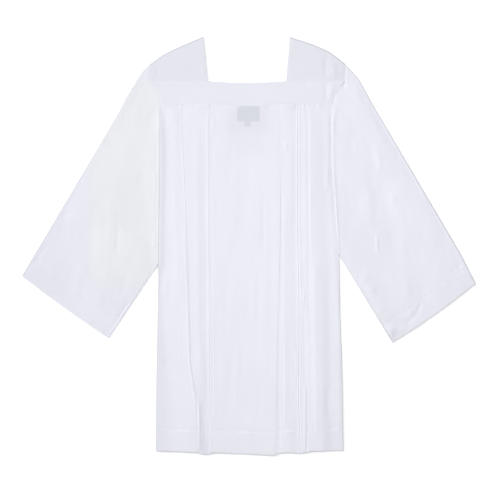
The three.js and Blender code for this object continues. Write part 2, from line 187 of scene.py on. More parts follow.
class Route:
    """A line through points in plan, read by its share of the whole length."""

    def __init__(self, points: Any) -> None:
        """Measures the line through the points."""
        self.points = np.asarray(points, dtype=float)
        steps = np.hypot(*np.diff(self.points, axis=0).T)
        self.reached = np.concatenate([[0.0], np.cumsum(steps)])
        self.length = float(self.reached[-1])

    @property
    def shares(self) -> Array:
        """Where the points lie, as shares of the length."""
        return self.reached / self.length

    def at(self, share: Any) -> Array:
        """The places at the given shares, in an array with x and y last."""
        goal = np.asarray(share, dtype=float) * self.length
        return np.stack([np.interp(goal, self.reached, self.points[:, k]) for k in (0, 1)], axis=-1)


@dataclass(frozen=True)
class Patch:
    """A surface in plan between four edges: near and far run across, start and end down."""

    near: Callable[[Any], Array]
    far: Callable[[Any], Array]
    start: Callable[[Any], Array]
    end: Callable[[Any], Array]

    def at(self, across: Any, down: Any) -> Array:
        """The places at the given shares across and down, with x and y last."""
        across, down = np.broadcast_arrays(np.asarray(across, float), np.asarray(down, float))
        a, d = across[..., None], down[..., None]
        corners = mix(
            mix(self.near(0.0), self.far(0.0), d),
            mix(self.near(1.0), self.far(1.0), d),
            a,
        )
        sides = mix(self.start(down), self.end(down), a)
        return mix(self.near(across), self.far(across), d) + sides - corners


# ------------------------------------------------------------------ creases and relief


@dataclass(frozen=True)
class Crease:
    """A soft ridge, or a trough where its rise is negative, laid along a given line.

    Attributes:
        line: The points that it passes, in mm.
        rise: How far it lifts the cloth, in mm.
        reach: How far it spreads to each side.
        fade: How far from each end it dies away.
        lean: How much wider its left flank is than its right one, from -0.9 to 0.9.
        wander: How far it strays from side to side along its way.
    """

    line: Line
    rise: float
    reach: float
    fade: float = 30.0
    lean: float = 0.0
    wander: float = 0.0

    def height(self, x: Array, y: Array) -> Array:
        """How far it lifts the cloth at each place."""
        nearest = np.full(np.shape(x), np.inf)
        offset = np.zeros(np.shape(x))
        along = np.zeros(np.shape(x))
        passed = 0.0
        for (x0, y0), (x1, y1) in zip(self.line, self.line[1:]):
            length = math.hypot(x1 - x0, y1 - y0)
            ux, uy = (x1 - x0) / length, (y1 - y0) / length
            run = (x - x0) * ux + (y - y0) * uy
            held = np.clip(run, 0.0, length)
            away = np.hypot(x - x0 - held * ux, y - y0 - held * uy)
            closer = away < nearest
            side = (x - x0) * uy - (y - y0) * ux
            offset = np.where(closer, np.where(side < 0, -away, away), offset)
            along = np.where(closer, passed + held, along)
            nearest = np.minimum(nearest, away)
            passed += length
        if self.wander:
            # Two slow waves, started by where the crease lies, so that no two stray alike.
            phase = self.line[0][0] * 0.37 + self.line[0][1] * 0.11
            offset = offset + self.wander * np.sin(along / 17.0 + phase)
            offset = offset + self.wander * 0.5 * np.sin(along / 6.3 + 2 * phase)
        reach = self.reach * np.where(offset < 0, 1 - self.lean, 1 + self.lean)
        fade = min(self.fade, passed / 2)
        ends = smooth(along / fade) * smooth((passed - along) / fade)
        return self.rise * bell(offset / reach) * ends


@dataclass(frozen=True)
class Crumple:
    """The slight unevenness of pressed cloth: many faint waves, longer than they are wide.

    Attributes:
        seed: Which waves they are.
        rise: The height of the widest wave, in mm.
        widths: The narrowest and widest wave.
        stretch: How much longer than wide they are.
        heading: The direction that they run along, in degrees from +Y.
        stray: How far their own directions stray from it, in radians.
        growth: The power by which a wave's height grows with its width.
        waves: How many there are.
    """

    seed: int
    rise: float = 0.34
    widths: tuple[float, float] = (16.0, 110.0)
    stretch: float = 3.2
    heading: float = 0.0
    stray: float = 1.1
    growth: float = 1.15
    waves: int = 26

    def height(self, x: Array, y: Array) -> Array:
        """How far they lift the cloth at each place."""
        draw = np.random.default_rng(self.seed)
        turn = math.radians(self.heading)
        across = x * math.cos(turn) + y * math.sin(turn)
        along = (y * math.cos(turn) - x * math.sin(turn)) / self.stretch
        total = np.zeros(np.shape(x))
        for _ in range(self.waves):
            width = math.exp(draw.uniform(*np.log(self.widths)))
            angle = draw.uniform(-self.stray, self.stray)
            phase = draw.uniform(0.0, 2 * math.pi)
            step = 2 * math.pi / width
            wave = np.sin(step * (across * math.cos(angle) + along * math.sin(angle)) + phase)
            total += self.rise * (width / self.widths[1]) ** self.growth * wave
        return total / math.sqrt(self.waves / 2)


@dataclass(frozen=True)
class Pucker:
    """The gathering that a seam or a line of stitches draws into the cloth beside it.

    Attributes:
        dip: How deep the stitches pull the cloth down, in mm.
        width: How wide that groove is to each side.
        ripple: The height of the small waves that run out from it.
        spacing: The distance from one small wave to the next.
        reach: How far they run out.
    """

    dip: float
    width: float
    ripple: float
    spacing: float
    reach: float

    def height(self, away: Array, along: Array) -> Array:
        """How far it lifts the cloth.

        Args:
            away: The distance from the seam.
            along: The distance along it.

        Returns:
            The lift, which is negative in the groove.
        """
        uneven = np.sin(along / 23.0 + 1.3) + np.sin(along / 57.0)
        phase = 2 * math.pi * along / self.spacing + 1.6 * np.sin(along / 31.0)
        waves = self.ripple * (0.6 + 0.3 * uneven) * np.sin(phase)
        return waves * bell(away / self.reach) - self.dip * bell(away / self.width)


@dataclass(frozen=True)
class Relief:
    """All that lifts one stretch of cloth off its plain form."""

    creases: tuple[Crease, ...] = ()
    crumple: Crumple | None = None

    def height(self, x: Array, y: Array) -> Array:
        """How far the cloth is lifted at each place."""
        total = np.zeros(np.shape(x))
        for crease in self.creases:
            total = total + crease.height(x, y)
        if self.crumple:
            total = total + self.crumple.height(x, y)
        return total


STRAP_LAP = Pucker(dip=0.1, width=1.7, ripple=0.14, spacing=8.0, reach=5.0)


# --------------------------------------------------------------------------- meshes


def put(name: str, data: bpy.types.ID) -> bpy.types.Object:
    """Makes an object of a mesh, lamp or camera and puts it in the scene."""
    made = bpy.data.objects.new(name, data)
    bpy.context.collection.objects.link(made)
    return made


def mesh_of(name: str, bm: bmesh.types.BMesh) -> bpy.types.Mesh:
    """Ends the work on a bmesh and keeps its form as a mesh."""
    mesh = bpy.data.meshes.new(name)
    bm.to_mesh(mesh)
    bm.free()
    return mesh


@dataclass
class Sheet:
    """A sheet of cloth as rows and columns of points.

    Attributes:
        name: The finished piece's name.
        node: The solid that it stands for.
        places: The points, in mm, by row, column and axis.
        wall: How thick the cloth is, in mm.
        ring: Whether the last column joins the first, as round a sleeve.
        edge: How much painted shade darkens the cloth at its turned edges and folds, by row and
        column. It is negative where a painted highlight lightens it.
    """

    name: str
    node: str
    places: Array
    wall: float = CLOTH
    ring: bool = False
    edge: Array | None = None

    def build(self, finish: bpy.types.Material, slot: str) -> bpy.types.Object:
        """Makes the sheet a thin wall of cloth.

        Args:
            finish: The cloth's material.
            slot: Not used.

        Returns:
            The piece, riding on the garment's one body in place of its solid.
        """
        places = self.places
        if self.ring:
            places = np.concatenate([places, places[:, :1]], axis=1)
        rows, columns = places.shape[:2]
        grain = flat_grain(places)
        bm = bmesh.new()
        bmesh.ops.create_grid(bm, x_segments=columns - 1, y_segments=rows - 1, size=0.5)
        bm.verts.ensure_lookup_table()
        mesh = mesh_of(self.name, bm)
        flat = np.empty(len(mesh.vertices) * 3)
        mesh.vertices.foreach_get("co", flat)
        flat = flat.reshape(-1, 3)
        column = np.rint((flat[:, 0] + 0.5) * (columns - 1)).astype(int)
        row = np.rint((0.5 - flat[:, 1]) * (rows - 1)).astype(int)
        mesh.vertices.foreach_set("co", (places[row, column] * MM).ravel())
        corners = np.empty(len(mesh.loops), dtype=np.int32)
        mesh.loops.foreach_get("vertex_index", corners)
        layer = mesh.uv_layers.new(name="grain")
        layer.data.foreach_set("uv", (grain[row, column] * MM)[corners].astype(np.float32).ravel())
        # The edge attribute carries painted shade at turned edges and folds, and painted highlights
        # where it is negative.
        if self.edge is not None:
            turned = mesh.attributes.new("edge", "FLOAT", "POINT")
            turned.data.foreach_set("value", self.edge[row, column % self.edge.shape[1]].ravel())
        if self.ring:
            join_ring(mesh)
        mesh.shade_smooth()
        mesh.update()
        piece = put(self.name, mesh)
        wall = piece.modifiers.new("wall", "SOLIDIFY")
        wall.thickness = self.wall * MM
        wall.offset = 0.0
        mesh.materials.append(finish)
        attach(piece, "root")
        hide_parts(self.node)
        return piece


def join_ring(mesh: bpy.types.Mesh) -> None:
    """Closes a sleeve along its length and turns its faces outwards."""
    bm = bmesh.new()
    bm.from_mesh(mesh)
    bmesh.ops.remove_doubles(bm, verts=bm.verts, dist=1e-6)
    bmesh.ops.recalc_face_normals(bm, faces=bm.faces)
    bm.to_mesh(mesh)
    bm.free()


def flat_grain(places: Array) -> Array:
    """Lays a sheet's points out flat, by the distances between them.

    Args:
        places: The sheet's points, by row, column and axis.

    Returns:
        Their places on the flat cloth, by row, column and axis.
    """
    across = np.linalg.norm(np.diff(places, axis=1), axis=2).mean(axis=0)
    down = np.linalg.norm(np.diff(places, axis=0), axis=2).mean(axis=1)
    u = np.concatenate([[0.0], np.cumsum(across)])
    v = np.concatenate([[0.0], np.cumsum(down)])
    return np.stack(np.meshgrid(u, v), axis=-1)


# ------------------------------------------------------------------------ materials


class Value:
    """A shader socket that can stand in an expression on numbers."""

    def __init__(self, sheet: "Shader", socket: bpy.types.NodeSocket) -> None:
        """Wraps the socket of a node on a shader."""
        self.sheet = sheet
        self.socket = socket

    def _math(self, operation: str, a: Any, b: Any) -> "Value":
        """Adds one Math node."""
        return self.sheet.node("ShaderNodeMath", {"operation": operation}, {0: a, 1: b})[0]

    def __add__(self, other: Any) -> "Value":
        """self + other."""
        return self._math("ADD", self, other)

    __radd__ = __add__

    def __mul__(self, other: Any) -> "Value":
        """self * other."""
        return self._math("MULTIPLY", self, other)

    __rmul__ = __mul__

    def __sub__(self, other: Any) -> "Value":
        """self - other."""
        return self._math("SUBTRACT", self, other)

    def __rsub__(self, other: Any) -> "Value":
        """other - self."""
        return self._math("SUBTRACT", other, self)

    def apply(self, operation: str) -> "Value":
        """The Math node's operation on one number, such as a sine."""
        return self._math(operation, self, 0.0)

    def eased(self, low: float, high: float) -> "Value":
        """0 up to low, 1 from high on, and eased between."""
        limits = {1: low, 2: high, 3: 0.0, 4: 1.0}
        settings = {"interpolation_type": "SMOOTHSTEP", "clamp": True}
        return self.sheet.node("ShaderNodeMapRange", settings, {0: self, **limits})[0]


class Shader:
    """One material's nodes, laid by short calls."""

    def __init__(self, name: str) -> None:
        """Starts a material that holds only its output."""
        self.material = bpy.data.materials.new(name)
        self.material.use_nodes = True
        self.tree = self.material.node_tree
        self.tree.nodes.clear()
        self.output = self.tree.nodes.new("ShaderNodeOutputMaterial")

    def node(
        self,
        kind: str,
        settings: dict[str, Any] | None = None,
        inputs: dict[Any, Any] | None = None,
    ) -> list[Value]:
        """Adds one node.

        Args:
            kind: The node's type.
            settings: Its own settings, which are made first.
            inputs: Its sockets' values or links, by name or number.

        Returns:
            Its outputs that are in use.
        """
        made = self.tree.nodes.new(kind)
        for name, setting in (settings or {}).items():
            setattr(made, name, setting)
        for name, value in (inputs or {}).items():
            self.feed(made.inputs[name], value)
        return [Value(self, output) for output in made.outputs if output.enabled]

    def feed(self, socket: bpy.types.NodeSocket, value: Any) -> None:
        """Links a value to a socket, or sets the number or colour on it."""
        if isinstance(value, Value):
            self.tree.links.new(value.socket, socket)
        else:
            socket.default_value = value

    def noise(self, place: Value, scale: float, detail: float, roughness: float = 0.5) -> Value:
        """An even noise in space, from 0 to 1."""
        inputs = {"Vector": place, "Scale": scale, "Detail": detail, "Roughness": roughness}
        return self.node("ShaderNodeTexNoise", {"noise_dimensions": "3D"}, inputs)[0]

    def toned(self, colour: tuple[float, float, float], tone: Value) -> Value:
        """A colour, darker or lighter by a tone."""
        inputs = {0: colour, "Scale": tone}
        return self.node("ShaderNodeVectorMath", {"operation": "SCALE"}, inputs)[0]

    def bumped(self, height: Value) -> Value:
        """The surface's direction, turned by a height in metres."""
        inputs = {"Strength": 1.0, "Distance": 1.0, "Height": height}
        return self.node("ShaderNodeBump", inputs=inputs)[0]

    def surface(self, **inputs: Any) -> None:
        """Ends the material in a Principled shader with the given sockets."""
        named = {name.replace("_", " "): value for name, value in inputs.items()}
        made = self.tree.nodes.new("ShaderNodeBsdfPrincipled")
        for name, value in named.items():
            self.feed(made.inputs[name], value)
        self.tree.links.new(made.outputs[0], self.output.inputs[0])


@dataclass(frozen=True)
class Shade:
    """A tinted place on the cloth. It paints a label showing through, a warmer tone, painted shade
    and painted highlights.

    Attributes:
        low: The place's lowest corner in plan, in metres.
        high: Its highest corner.
        soft: How soft its edges are.
        tint: The colour that the cloth's own is multiplied by there.
    """

    low: tuple[float, float]
    high: tuple[float, float]
    soft: float
    tint: tuple[float, float, float]

    def mask(self, x: Value, y: Value) -> Value:
        """Marks the place out on the cloth.

        Args:
            x: The cloth's own x, in metres.
            y: Its y.

        Returns:
            1 inside the place and 0 outside.
        """
        half = self.soft / 2
        mask = x.eased(self.low[0] - half, self.low[0] + half)
        mask = mask * (1 - x.eased(self.high[0] - half, self.high[0] + half))
        mask = mask * y.eased(self.low[1] - half, self.low[1] + half)
        return mask * (1 - y.eased(self.high[1] - half, self.high[1] + half))


@dataclass(frozen=True)
class ClothFinish:
    """Plain-woven white polyester and cotton, pressed and matte.

    Attributes:
        colour: The cloth's colour, linear.
        thread: The distance from one thread to the next, in metres.
        relief: How deep the weave's bump is, in metres.
        crumple: How deep the bump of its finest creases is, in metres.
        painted_fold_shade: How much painted shade darkens it where a sheet's edge is 1.
        shades: The tinted places, among them painted shade and painted highlights.
    """

    name: str
    colour: tuple[float, float, float] = (0.800, 0.807, 0.877)
    thread: float = 0.00055
    relief: float = 0.00007
    crumple: float = 0.00016
    painted_fold_shade: float = 0.2
    shades: tuple[Shade, ...] = ()

    def make(self) -> bpy.types.Material:
        """Lays the finish's nodes and returns the material."""
        s = Shader(self.name)
        grain = s.node("ShaderNodeUVMap", {"uv_map": "grain"})[0]
        u, v, _ = s.node("ShaderNodeSeparateXYZ", inputs={0: grain})
        turn = math.pi / self.thread
        weave = (u * turn).apply("COSINE") * (v * turn).apply("COSINE")
        warp = self.streaks(s, grain, (900.0, 30.0, 1.0))
        weft = self.streaks(s, grain, (26.0, 820.0, 1.0))
        slub = warp * 0.55 + weft * 0.45
        object_place = s.node("ShaderNodeTexCoord")[3]
        mottle = s.noise(object_place, scale=9.0, detail=3.0)
        crumple = s.noise(object_place, scale=120.0, detail=4.0, roughness=0.55)
        tone = 1 + (mottle - 0.5) * 0.035 + (slub - 0.5) * 0.03 + weave * 0.012
        # Painted shade at turned edges and folds, read from the edge attribute; a painted highlight
        # where it is negative.
        edge = s.node("ShaderNodeAttribute", {"attribute_name": "edge"})[2]
        tone = tone * (1 - edge * self.painted_fold_shade)
        colour = self.shaded(s, object_place, s.toned(self.colour, tone))
        height = weave * self.relief + (slub - 0.5) * self.relief * 1.4
        height = height + (crumple - 0.5) * self.crumple
        s.surface(
            Base_Color=colour,
            Roughness=0.78 + slub * 0.12,
            Sheen_Weight=0.12,
            Sheen_Roughness=0.5,
            Specular_IOR_Level=0.35,
            Normal=s.bumped(height),
        )
        return s.material

    def streaks(self, s: Shader, grain: Value, scale: tuple[float, float, float]) -> Value:
        """Uneven threads: a noise drawn out along one direction of the grain."""
        drawn = s.node("ShaderNodeMapping", inputs={"Vector": grain, "Scale": scale})[0]
        return s.noise(drawn, scale=1.0, detail=2.0, roughness=0.6)

    def shaded(self, s: Shader, place: Value, colour: Value) -> Value:
        """Changes the colour in each of the finish's shades.

        Args:
            s: The material's nodes.
            place: The cloth's own places.
            colour: Its colour so far.

        Returns:
            The changed colour.
        """
        if not self.shades:
            return colour
        x, y, _ = s.node("ShaderNodeSeparateXYZ", inputs={0: place})
        for shade in self.shades:
            tinted = s.node(
                "ShaderNodeVectorMath", {"operation": "MULTIPLY"}, {0: colour, 1: shade.tint}
            )[0]
            colour = s.node(
                "ShaderNodeMix",
                {"data_type": "RGBA", "blend_type": "MIX"},
                {0: shade.mask(x, y), 6: colour, 7: tinted},
            )[0]
        return colour


@dataclass(frozen=True)
class TapeFinish:
    """Smooth woven tape in a pale grey blue, for the plain label and its tab.

    Attributes:
        rib: The distance from one rib to the next, in metres.
        rib_relief: How deep the bump of the ribs is.
        thread_relief: How deep the bump of single threads is.
    """

    name: str = "label_tape"
    colour: tuple[float, float, float] = (0.672, 0.700, 0.755)
    rib: float = 0.0004
    rib_relief: float = 0.00003
    thread_relief: float = 0.00004

    def make(self) -> bpy.types.Material:
        """Lays the finish's nodes and returns the material."""
        s = Shader(self.name)
        grain = s.node("ShaderNodeUVMap", {"uv_map": "grain"})[0]
        _, v, _ = s.node("ShaderNodeSeparateXYZ", inputs={0: grain})
        ribs = (v * (2 * math.pi / self.rib)).apply("SINE")
        fine = s.noise(grain, scale=700.0, detail=2.0)
        tone = 1 + ribs * 0.02 + (fine - 0.5) * 0.06
        s.surface(
            Base_Color=s.toned(self.colour, tone),
            Roughness=0.5 + fine * 0.15,
            Sheen_Weight=0.2,
            Normal=s.bumped(ribs * self.rib_relief + fine * self.thread_relief),
        )
        return s.material


@dataclass(frozen=True)
class ThreadFinish:
    """White sewing thread with the twist of its two plies, whose length is in metres."""

    name: str = "sewing_thread"
    colour: tuple[float, float, float] = (0.82, 0.83, 0.88)
    twist: float = 0.0005

    def make(self) -> bpy.types.Material:
        """Lays the finish's nodes and returns the material."""
        s = Shader(self.name)
        place = s.node("ShaderNodeTexCoord")[3]
        x, y, _ = s.node("ShaderNodeSeparateXYZ", inputs={0: place})
        twist = ((x + y) * (2 * math.pi / self.twist)).apply("SINE")
        colour = s.toned(self.colour, 1 + twist * 0.04)
        s.surface(Base_Color=colour, Roughness=0.55 + twist * 0.05, Sheen_Weight=0.1)
        return s.material


@dataclass(frozen=True)
class TableFinish:
    """The plain white table top, with a slight glow."""

    name: str = "white_table"
    colour: tuple[float, float, float] = (0.96, 0.96, 0.96)
    glow: float = 0.17

    def make(self) -> bpy.types.Material:
        """Lays the finish's nodes and returns the material."""
        s = Shader(self.name)
        s.surface(
            Base_Color=(*self.colour, 1.0),
            Roughness=0.9,
            Specular_IOR_Level=0.1,
            Emission_Color=(1.0, 1.0, 1.0, 1.0),
            Emission_Strength=self.glow,
        )
        return s.material


# ------------------------------------------------------------------- the cut pattern


@dataclass(frozen=True)
class BodyLines:
    """Where the body's side seams and folded edges lie, from the yoke down, in mm.

    From the left the folded edges are the left side panel's, the two of the centre
    panel, the two of the narrow strip and the right side panel's.
    """

    columns: tuple[str, ...] = (
        "y", "left", "outer_left", "inner_left", "inner_right",
        "strip_left", "strip_right", "outer_right", "right",
    )
    rows: tuple[tuple[float, ...], ...] = (
        (312, -194.5, -148.5, -86.6, 69.4, 69.7, 106.7, 123.2, 185.0),
        (277, -194.5, -147.3, -86.6, 69.4, 69.7, 106.7, 123.2, 179.5),
        (189, -195.0, -144.0, -86.4, 69.4, 69.7, 106.3, 123.2, 180.8),
        (79, -197.0, -139.0, -85.8, 69.0, 70.3, 106.5, 123.6, 189.5),
        (-19, -198.7, -135.0, -85.0, 67.8, 70.8, 107.8, 124.5, 198.0),
        (-40, -199.2, -134.2, -84.8, 67.1, 70.8, 108.5, 125.4, 199.2),
        (-141, -201.2, -131.3, -84.0, 63.8, 70.2, 110.0, 127.6, 200.8),
        (-251, -203.2, -128.7, -83.6, 61.2, 68.9, 109.1, 130.2, 204.7),
        (-295, -203.9, -122.5, -83.6, 60.5, 68.9, 109.0, 130.9, 205.8),
        (-339, -204.4, -116.6, -83.8, 59.8, 68.9, 108.9, 131.3, 206.6),
        (-398, -204.8, -113.5, -84.2, 59.4, 69.5, 111.0, 131.9, 207.4),
        (-449, -205.2, -112.2, -84.8, 58.3, 70.8, 112.2, 132.7, 208.0),
    )

    def at(self, name: str, y: Any) -> Array:
        """Where one of the lines lies at the given heights, with its corners rounded."""
        heights = [-row[0] for row in self.rows]
        places = [row[self.columns.index(name)] for row in self.rows]
        reach = 14.0
        y = np.asarray(y, float)
        near = [np.interp(-(y + off), heights, places) for off in (-reach, 0, reach)]
        inside = (y < PANEL_TOP - reach) & (y > HEM_EDGE + reach)
        return np.where(inside, (near[0] + 2 * near[1] + near[2]) / 4, near[1])


LINES = BodyLines()


@dataclass(frozen=True)
class Side:
    """One side's corners and edges in plan, in mm, because it doesn't lie quite evenly.

    Attributes:
        sign: -1 on the left, 1 on the right.
        neck_tip: Where the strap's fold meets the neck.
        neck_corner: Where the strap's seam meets the neck.
        shoulder: The points along the strap's fold, between its two ends.
        strap_end: Where the strap's fold meets the sleeve.
        strap_corner: Where the strap's seam meets the sleeve.
        band_corner: Where the armhole bends, on the band.
        arm: The sleeve's upper edge, out from the strap.
        elbow: A bend low down in that edge, if it has one.
        cuff_top: The cuff's upper corner.
        cuff_bottom: Its lower corner.
        cuff_bow: How far the cuff's edge bows out.
        underarm: How far down the sleeve's lower edge starts.
        body_line: The line of the body that the sleeve is sewn to.
        seam_heights: Heights down that line, each with how high the seam lies there.
    """

    sign: int
    neck_tip: Point
    neck_corner: Point
    shoulder: Line
    strap_end: Point
    strap_corner: Point
    band_corner: Point
    arm: Line
    elbow: Line
    cuff_top: Point
    cuff_bottom: Point
    cuff_bow: float
    underarm: float
    body_line: str
    seam_heights: Line

    def seam_height(self, y: Any) -> Array:
        """How high the armhole seam and the side seam lie at the given heights."""
        heights, lifts = zip(*self.seam_heights)
        return np.interp(-np.asarray(y, float), [-height for height in heights], lifts)


LEFT = Side(
    sign=-1,
    neck_tip=(-100, 461),
    neck_corner=(-90, STRAP_SEAM),
    shoulder=((-141.9, 443.3), (-185.9, 422.4)),
    strap_end=(-219, 399),
    strap_corner=(-219, STRAP_SEAM),
    band_corner=(-194.5, 325),
    arm=((-232.4, 385), (-247.5, 363), (-260.7, 341), (-276, 314.6), (-289.3, 288.2)),
    elbow=(),
    cuff_top=(-499.5, -66),
    cuff_bottom=(-308.5, -203.5),
    cuff_bow=2,
    underarm=-40,
    body_line="left",
    seam_heights=((402, 2.35), (363, 2.6), (325, 3.0), (312, 3.0), (262, 6.0), (-10, 6.0),
                  (-40, 5.4), (-120, 6.2), (-449, 6.6)),
)
RIGHT = Side(
    sign=1,
    neck_tip=(89.5, 460),
    neck_corner=(81.5, STRAP_SEAM),
    shoulder=((115.5, 452.1), (144.1, 442.2), (179.3, 425.7)),
    strap_end=(210, 402),
    strap_corner=(210, STRAP_SEAM),
    band_corner=(188, 328),
    arm=((223.8, 387.5), (241, 367.5), (255.5, 342.1), (269.8, 315.7), (285.5, 289)),
    elbow=((463, -12),),
    cuff_top=(499.5, -82.5),
    cuff_bottom=(316, -213),
    cuff_bow=3.5,
    underarm=-19,
    body_line="right",
    seam_heights=((402, 2.35), (363, 2.6), (328, 3.0), (312, 3.0), (262, 3.7), (0, 3.7),
                  (-19, 3.1), (-60, 3.2), (-449, 3.4)),
)


def seam_height(x: Array) -> Array:
    """How high the front lies where it is sewn into the yoke band."""
    left, right = LINES.rows[0][1], LINES.rows[0][-1]
    across = np.clip((x - left) / (right - left), 0.0, 1.0)
    return LOWEST_BAND + BAND_RISE * np.sin(math.pi * across) ** BAND_ROUNDING


# ------------------------------------------------------------------- the front body


@dataclass
class Column:
    """One line of points down the front: where it runs, and how high it lies."""

    run: Array
    z: Array
    drop: Array
    zone: Zone


@dataclass(frozen=True)
class Fold:
    """One folded edge of the front, and the stretch to the right of it.

    Attributes:
        line: Where it lies, as a line of the body.
        way: 1 where the cloth that it ends lies to its right, -1 to its left.
        underlay: How far the hidden cloth runs in under it.
        noses: How long its rounding is, low down and near the yoke.
        zone: The stretch that it ends.
        after: The open stretch to its right, or nothing at the last fold.
        dome: How much the middle of that stretch stands up.
    """

    line: str
    way: int
    underlay: float
    noses: tuple[float, float]
    zone: Zone
    after: Zone | None = None
    dome: float = 0.0


WIDE_NOSE = (2.0, 2.0)
SHARP_NOSE = (0.7, 0.7)
THIN_NOSE = (1.2, 0.15)
FOLDS = (
    Fold("outer_left", -1, UNDERLAY, WIDE_NOSE, Zone.LEFT_SIDE, Zone.LEFT_INSET, 0.3),
    Fold("inner_left", 1, UNDERLAY, SHARP_NOSE, Zone.CENTRE, Zone.CENTRE, -0.7),
    Fold("inner_right", -1, UNDERLAY, THIN_NOSE, Zone.CENTRE, Zone.NARROW_GAP),
    Fold("strip_left", 1, NARROW_UNDERLAY, THIN_NOSE, Zone.STRIP, Zone.STRIP, 0.5),
    Fold("strip_right", -1, NARROW_UNDERLAY, WIDE_NOSE, Zone.STRIP, Zone.RIGHT_GAP),
    Fold("outer_right", 1, NARROW_UNDERLAY, SHARP_NOSE, Zone.RIGHT_SIDE),
)


